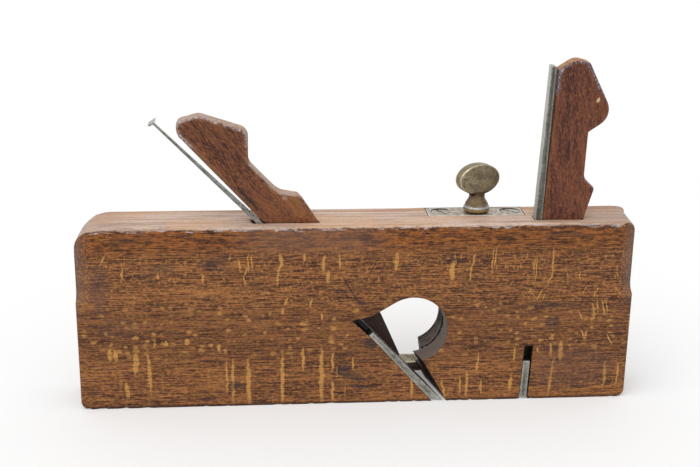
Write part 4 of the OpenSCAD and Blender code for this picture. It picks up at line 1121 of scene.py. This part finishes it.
@dataclass
class Thumbscrew:
    """Threaded shank, turned base and oval thumb paddle: one closed surface.

    A ring at each height holds points at even angles a. The shank's radius is root + depth *
    triangle(height / pitch - a / turn). From the base up the radius is the turned profile; in the
    paddle it is the superellipse (|cos a / w|^n + |sin a / t|^n)^(-1/n), whose half width w and half
    thickness t follow a rounded oval disc, and both join as (base^8 + paddle^8)^(1/8).
    """

    axis_x: float = 53.0
    axis_y: float = 6.2
    plate_z: float = 82.55
    turn: float = math.radians(21.0)
    columns: int = 168
    shank_r: float = 3.175
    thread_depth: float = 0.6
    pitch: float = 1.27
    shank_low: float = 22.0
    shank_plain: float = 75.5
    foot_r: float = 4.9
    bead_r: float = 5.75
    bead_z: float = 1.75
    bead_half: float = 1.2
    neck_r: float = 5.2
    waist_r: float = 3.45
    waist_z: float = 7.2
    paddle_z: float = 15.0
    half_width: float = 10.0
    half_height: float = 6.75
    half_thickness: float = 2.55
    rounding: float = 12.0

    def base_radius(self, rise: np.ndarray) -> np.ndarray:
        """The turned profile: foot ring, elliptic bead, half a cosine wave, flare, then a fade."""
        bulge = self.neck_r + (self.bead_r - self.neck_r) * np.sqrt(
            np.clip(1.0 - ((rise - self.bead_z) / self.bead_half) ** 2, 0.0, 1.0))
        cove_low = self.bead_z + self.bead_half
        share = np.clip((rise - cove_low) / (self.waist_z - cove_low), 0.0, 1.0)
        cove = self.waist_r + (self.neck_r - self.waist_r) * (0.5 + 0.5 * np.cos(math.pi * share))
        flare = self.waist_r + 0.2 * np.clip((rise - self.waist_z) / 2.0, 0.0, 1.0) ** 2
        fade = np.clip(1.0 - (rise - 8.1) / 1.2, 0.02, 1.0) ** 0.6
        lower = np.where(rise < 0.5, self.foot_r, bulge)
        return np.where(rise < cove_low, lower, np.where(rise < self.waist_z, cove, flare * fade))

    def paddle_radius(self, rise: np.ndarray, angle: np.ndarray) -> np.ndarray:
        """The paddle's section at each height, as a radius over the angle."""
        share = np.clip(((rise - self.paddle_z) / self.half_height) ** 2, 0.0, 0.9995)
        width = self.half_width * np.sqrt(1.0 - share)
        thick = self.half_thickness * (1.0 - share ** (self.rounding / 2.0)) ** (1.0 / self.rounding)
        power = self.rounding
        total = np.abs(np.cos(angle) / width) ** power + np.abs(np.sin(angle) / thick) ** power
        inside = np.abs(rise - self.paddle_z) < self.half_height
        return np.where(inside, total ** (-1.0 / power), 0.0)

    def heights(self) -> tuple[np.ndarray, np.ndarray]:
        """The heights of the rings on the shank, and those over the plate."""
        shank = np.concatenate([
            np.array([self.shank_low, self.shank_low + 0.25]),
            np.arange(self.shank_low + 0.6, self.shank_plain, self.pitch / 6.0),
            [self.shank_plain + 0.6, self.plate_z]])
        spread = np.linspace(0.0, math.pi, 64)
        paddle = self.paddle_z - self.half_height * np.cos(spread)
        base = np.concatenate([[0.0, 0.3, 0.5, 0.58, 0.7], np.linspace(0.9, 2.94, 12), np.linspace(3.05, 8.25, 16)])
        return shank, np.concatenate([base, paddle[1:]])

    def grid(self) -> tuple[np.ndarray, np.ndarray]:
        """Works out all rings.

        Returns:
            Places in millimetres as rings by angles by three, and how worn each place is.
        """
        angle = np.linspace(0.0, 2.0 * math.pi, self.columns, endpoint=False)[None, :]
        shank, rise = (part[:, None] for part in self.heights())
        phase = (shank / self.pitch - angle / (2.0 * math.pi)) % 1.0
        threaded = (shank > self.shank_low + 0.5) & (shank < self.shank_plain)
        groove = self.thread_depth * np.abs(2.0 * phase - 1.0) * threaded
        low = self.shank_r - groove - np.where(shank < self.shank_low + 0.1, 0.9, 0.0)
        base = np.broadcast_to(self.base_radius(rise), (len(rise), self.columns))
        paddle = self.paddle_radius(rise, angle)
        high = (base ** 8 + paddle ** 8) ** 0.125
        reach = np.concatenate([low, high])
        height = np.concatenate([shank, rise + self.plate_z])
        around = angle + self.turn
        places = np.stack([self.axis_x + reach * np.cos(around), self.axis_y + reach * np.sin(around),
                           np.broadcast_to(height, reach.shape)], axis=2)
        return places, self.edges(places, height - self.plate_z)

    def edges(self, places: np.ndarray, rise: np.ndarray) -> np.ndarray:
        """How worn each place is: 4 * n * (1 - n) of the normal's part n through the paddle."""
        along = np.roll(places, -1, axis=1) - np.roll(places, 1, axis=1)
        up = np.gradient(places, axis=0)
        normal = np.cross(along, up)
        normal /= np.maximum(np.linalg.norm(normal, axis=2, keepdims=True), 1e-9)
        through = np.abs(normal[:, :, 1] * math.cos(self.turn) - normal[:, :, 0] * math.sin(self.turn))
        return 4.0 * through * (1.0 - through) * (rise > 9.5)

    def build(self, material: bpy.types.Material) -> None:
        """Builds the thumbscrew and hides its node."""
        places, worn = self.grid()
        rows, columns = places.shape[:2]
        uneven = 0.03 * cloud(places.reshape(-1, 3), 2.4, 41).reshape(rows, columns)
        out = places - np.array([self.axis_x, self.axis_y, 0.0])
        out[:, :, 2] = 0.0
        above = (places[:, :, 2] > self.plate_z + 0.5)[:, :, None]
        places = places + above * out * (uneven / 9.0)[:, :, None]
        poles = np.array([[self.axis_x, self.axis_y, self.shank_low],
                          [self.axis_x, self.axis_y, self.plate_z + self.paddle_z + self.half_height]])
        points = np.concatenate([places.reshape(-1, 3), poles]) * MM
        index = np.arange(rows * columns).reshape(rows, columns)
        after = np.roll(index, -1, axis=1)
        walls = np.stack([index[:-1], after[:-1], after[1:], index[1:]], axis=2).reshape(-1, 4)
        low, high = rows * columns, rows * columns + 1
        foot = np.stack([after[0], index[0], np.full(columns, low)], axis=1)
        crown = np.stack([index[-1], after[-1], np.full(columns, high)], axis=1)
        mesh = bpy.data.meshes.new("turned_thumbscrew")
        mesh.from_pydata(points.tolist(), [], walls.tolist() + foot.tolist() + crown.tolist())
        arris = np.concatenate([worn.ravel(), [0.0, 0.0]]).astype(np.float32)
        mesh.attributes.new("arris", "FLOAT", "POINT").data.foreach_set("value", arris)
        mesh.materials.append(material)
        piece = bpy.data.objects.new(mesh.name, mesh)
        bpy.context.scene.collection.objects.link(piece)
        show(piece, "thumbscrew", "brass", "thumbscrew")


@dataclass
class StopPlate(WornSolid):
    """The brass plate, whose countersinks are opened a little past the screws' heads."""

    screws: tuple[float, float] = (37.3, 68.0)
    screw_y: float = 6.2
    hole_r: float = 4.2
    opening: float = 0.5

    def edge_share(self, middles: np.ndarray) -> np.ndarray:
        """Only the outline is worn round."""
        outline = np.min([np.hypot(middles[:, 0] - x, middles[:, 1] - self.screw_y)
                          for x in (*self.screws, 53.0)], axis=0) > 5.0
        return np.where(outline, 1.0, 0.0)

    def wear(self, points: np.ndarray, normals: np.ndarray) -> np.ndarray:
        """Widens each upper hole rim outwards, most on the side away from the camera."""
        moved = super().wear(points, normals)
        for x in self.screws:
            out = points - np.array([x, self.screw_y, 0.0])
            out[:, 2] = 0.0
            away = np.linalg.norm(out, axis=1)
            rim = (np.abs(away - self.hole_r) < 0.12)
            share = 0.45 + 0.55 * out[:, 1] / np.maximum(away, 0.1)
            moved += (rim * self.opening * np.clip(share, 0.05, 1.0) / np.maximum(away, 0.1))[:, None] * out
        return moved


@dataclass
class Plane:
    """The whole plane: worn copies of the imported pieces, a new thumbscrew and dressed small ones."""

    palette: Palette = field(default_factory=Palette)

    def dress(self, node: str, material: bpy.types.Material, width: float) -> None:
        """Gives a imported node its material, and rounds its sharp edges.

        Args:
            node: the node's name.
            material: its finish.
            width: width of the rounding in millimetres.
        """
        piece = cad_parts[node]
        piece.data.materials.clear()
        piece.data.materials.append(material)
        weld = piece.modifiers.new("joined", "WELD")
        weld.merge_threshold = 0.002 * MM
        bevel = piece.modifiers.new("worn_edges", "BEVEL")
        bevel.width = width * MM
        bevel.segments = 2
        bevel.limit_method = "ANGLE"
        bevel.angle_limit = math.radians(32.0)
        bevel.harden_normals = True
        LOG.info("dressed %s with %s", node, material.name)

    def build(self) -> None:
        """Builds every piece."""
        irons = self.palette.irons.build()
        cast = self.palette.cast.build()
        plate = self.palette.plate.build()
        Stock("stock", "stock", "beech", 0.55, 1.2, seed=3,
              stations=((0, -35.0), (0, 24.0), (0, 37.3), (0, 53.0), (0, 68.0), (0, 86.0))).build(self.palette.stock.build())
        Wedge("main_wedge", "main_wedge", "wedge_wood", 1.1, seed=11, keen=(45.0, 84.0),
              stations=tuple((2, 23.0 + 6.0 * step) for step in range(21))).build(self.palette.main_wedge.build())
        Wedge("nicker_wedge", "nicker_wedge", "wedge_wood", 1.0, seed=17, keen=(45.0, 84.0),
              stations=tuple((2, 23.0 + 6.0 * step) for step in range(21))).build(self.palette.nicker_wedge.build())
        WornSolid("main_iron", "main_iron", "worn_steel", 0.3, 0.45, 0.06, 5.0, (3.0, 3.0, 3.0),
                  23, (4.0, 9.0), ((2, 6.0), (2, 10.0))).build(irons)
        WornSolid("nicker_iron", "nicker_iron", "worn_steel", 0.45, 0.5, 0.06, 5.0, (3.0, 3.0, 3.0),
                  29, (3.0, 8.0), ((2, 5.0), (2, 10.0))).build(irons)
        WornSolid("depth_stop", "depth_stop", "brass", 0.5, 0.6, 0.08, 6.0, (3.0, 3.0, 3.0),
                  31, stations=((0, 53.0),)).build(cast)
        StopPlate("stop_plate", "stock", "plate_brass", 0.25, 0.3, 0.04, 4.0, (2.0, 2.0, 9.0),
                  37, stations=((0, 37.3), (0, 53.0), (0, 68.0))).build(plate)
        Thumbscrew().build(cast)
        for node in ("plate_screw_rear", "plate_screw_front"):
            self.dress(node, plate, 0.15)
        self.dress("retaining_collar", cast, 0.15)
        self.dress("collar_pin", irons, 0.1)


@dataclass(frozen=True)
class Studio:
    """Floor, light and the camera of the photograph."""

    camera_place: tuple = (-0.0479, -0.5096, 0.2461)
    pitch: float = math.radians(18.485)
    yaw: float = math.radians(5.012)
    roll: float = math.radians(0.81)
    lens: float = 63.87
    sensor: float = 36.0
    floor_half: float = 3.0
    floor_grey: float = 0.78
    floor_glow: float = 0.2
    world_strength: float = 0.74
    key_strength: float = 1.15
    key_spread: float = math.radians(60.0)
    key_from: tuple = (-0.4, -0.55, 1.0)

    def camera(self) -> None:
        """Sets up the camera: pitch is downwards, yaw towards the toe, roll about the view."""
        ahead = Vector((math.sin(self.yaw) * math.cos(self.pitch),
                        math.cos(self.yaw) * math.cos(self.pitch), -math.sin(self.pitch)))
        level = Vector((math.cos(self.yaw), -math.sin(self.yaw), 0.0))
        above = level.cross(ahead)
        right = math.cos(self.roll) * level + math.sin(self.roll) * above
        up = math.cos(self.roll) * above - math.sin(self.roll) * level
        data = bpy.data.cameras.new("camera")
        data.lens = self.lens
        data.sensor_width = self.sensor
        data.clip_start = 0.01
        made = bpy.data.objects.new("camera", data)
        turn = Matrix((right, up, -ahead)).transposed().to_4x4()
        made.matrix_world = Matrix.Translation(self.camera_place) @ turn
        bpy.context.scene.collection.objects.link(made)
        bpy.context.scene.camera = made

    def floor(self) -> None:
        """Lays the pale floor, which camera, gloss and glass see a little lighter than it is."""
        half = self.floor_half
        mesh = bpy.data.meshes.new("floor")
        mesh.from_pydata([(-half, -half, 0), (half, -half, 0), (half, half, 0), (-half, half, 0)], [],
                         [(0, 1, 2, 3)])
        made = bpy.data.objects.new("floor", mesh)
        bpy.context.scene.collection.objects.link(made)
        shader = Shader("floor_white")
        glow = (self.floor_glow,) * 3
        seen = shader.mix(self.seen(shader), (0.0, 0.0, 0.0), glow)
        material = shader.finish({"Base Color": (self.floor_grey,) * 3, "Roughness": 0.9,
                                  "Specular IOR Level": 0.0, "Emission Color": seen,
                                  "Emission Strength": 1.0})
        mesh.materials.append(material)

    def seen(self, shader: Shader) -> Socket:
        """1 where camera, gloss or glass looks at a surface, and 0 for the light it gives."""
        camera = shader.node("ShaderNodeLightPath", {}, {}, "Is Camera Ray")
        total = camera + camera.beside("Is Glossy Ray") + camera.beside("Is Transmission Ray")
        return total.step(0.0, 1.0)

    def world(self) -> None:
        """Fills the surroundings with even white light."""
        world = bpy.data.worlds.new("studio")
        world.use_nodes = True
        bpy.context.scene.world = world
        nodes = world.node_tree.nodes
        links = world.node_tree.links
        background = nodes["Background"]
        background.inputs["Color"].default_value = (1.0, 1.0, 1.0, 1.0)
        path = nodes.new("ShaderNodeLightPath")
        total = path.outputs["Is Camera Ray"]
        for name in ("Is Glossy Ray", "Is Transmission Ray"):
            either = nodes.new("ShaderNodeMath")
            either.operation = "MAXIMUM"
            links.new(total, either.inputs[0])
            links.new(path.outputs[name], either.inputs[1])
            total = either.outputs[0]
        plain = nodes.new("ShaderNodeMapRange")
        plain.inputs["To Min"].default_value = self.world_strength
        plain.inputs["To Max"].default_value = 1.0
        links.new(total, plain.inputs["Value"])
        links.new(plain.outputs["Result"], background.inputs["Strength"])

    def lamp(self) -> None:
        """Hangs the one large soft lamp, far off at the camera's left."""
        data = bpy.data.lights.new("key", "SUN")
        data.angle = self.key_spread
        data.energy = self.key_strength
        made = bpy.data.objects.new("key", data)
        made.matrix_world = Vector(self.key_from).to_track_quat("Z", "Y").to_matrix().to_4x4()
        bpy.context.scene.collection.objects.link(made)

    def build(self) -> None:
        """Sets up everything round the object."""
        self.camera()
        self.floor()
        self.world()
        self.lamp()
        bpy.context.scene.view_settings.view_transform = "Standard"


def main() -> None:
    """Builds the plane and the studio, and reports each."""
    logging.basicConfig(level=logging.INFO, format="%(name)s: %(message)s")
    for maker in (Plane(), Studio()):
        maker.build()
        LOG.info("built %s", type(maker).__name__)


if __name__ == "__main__":
    main()
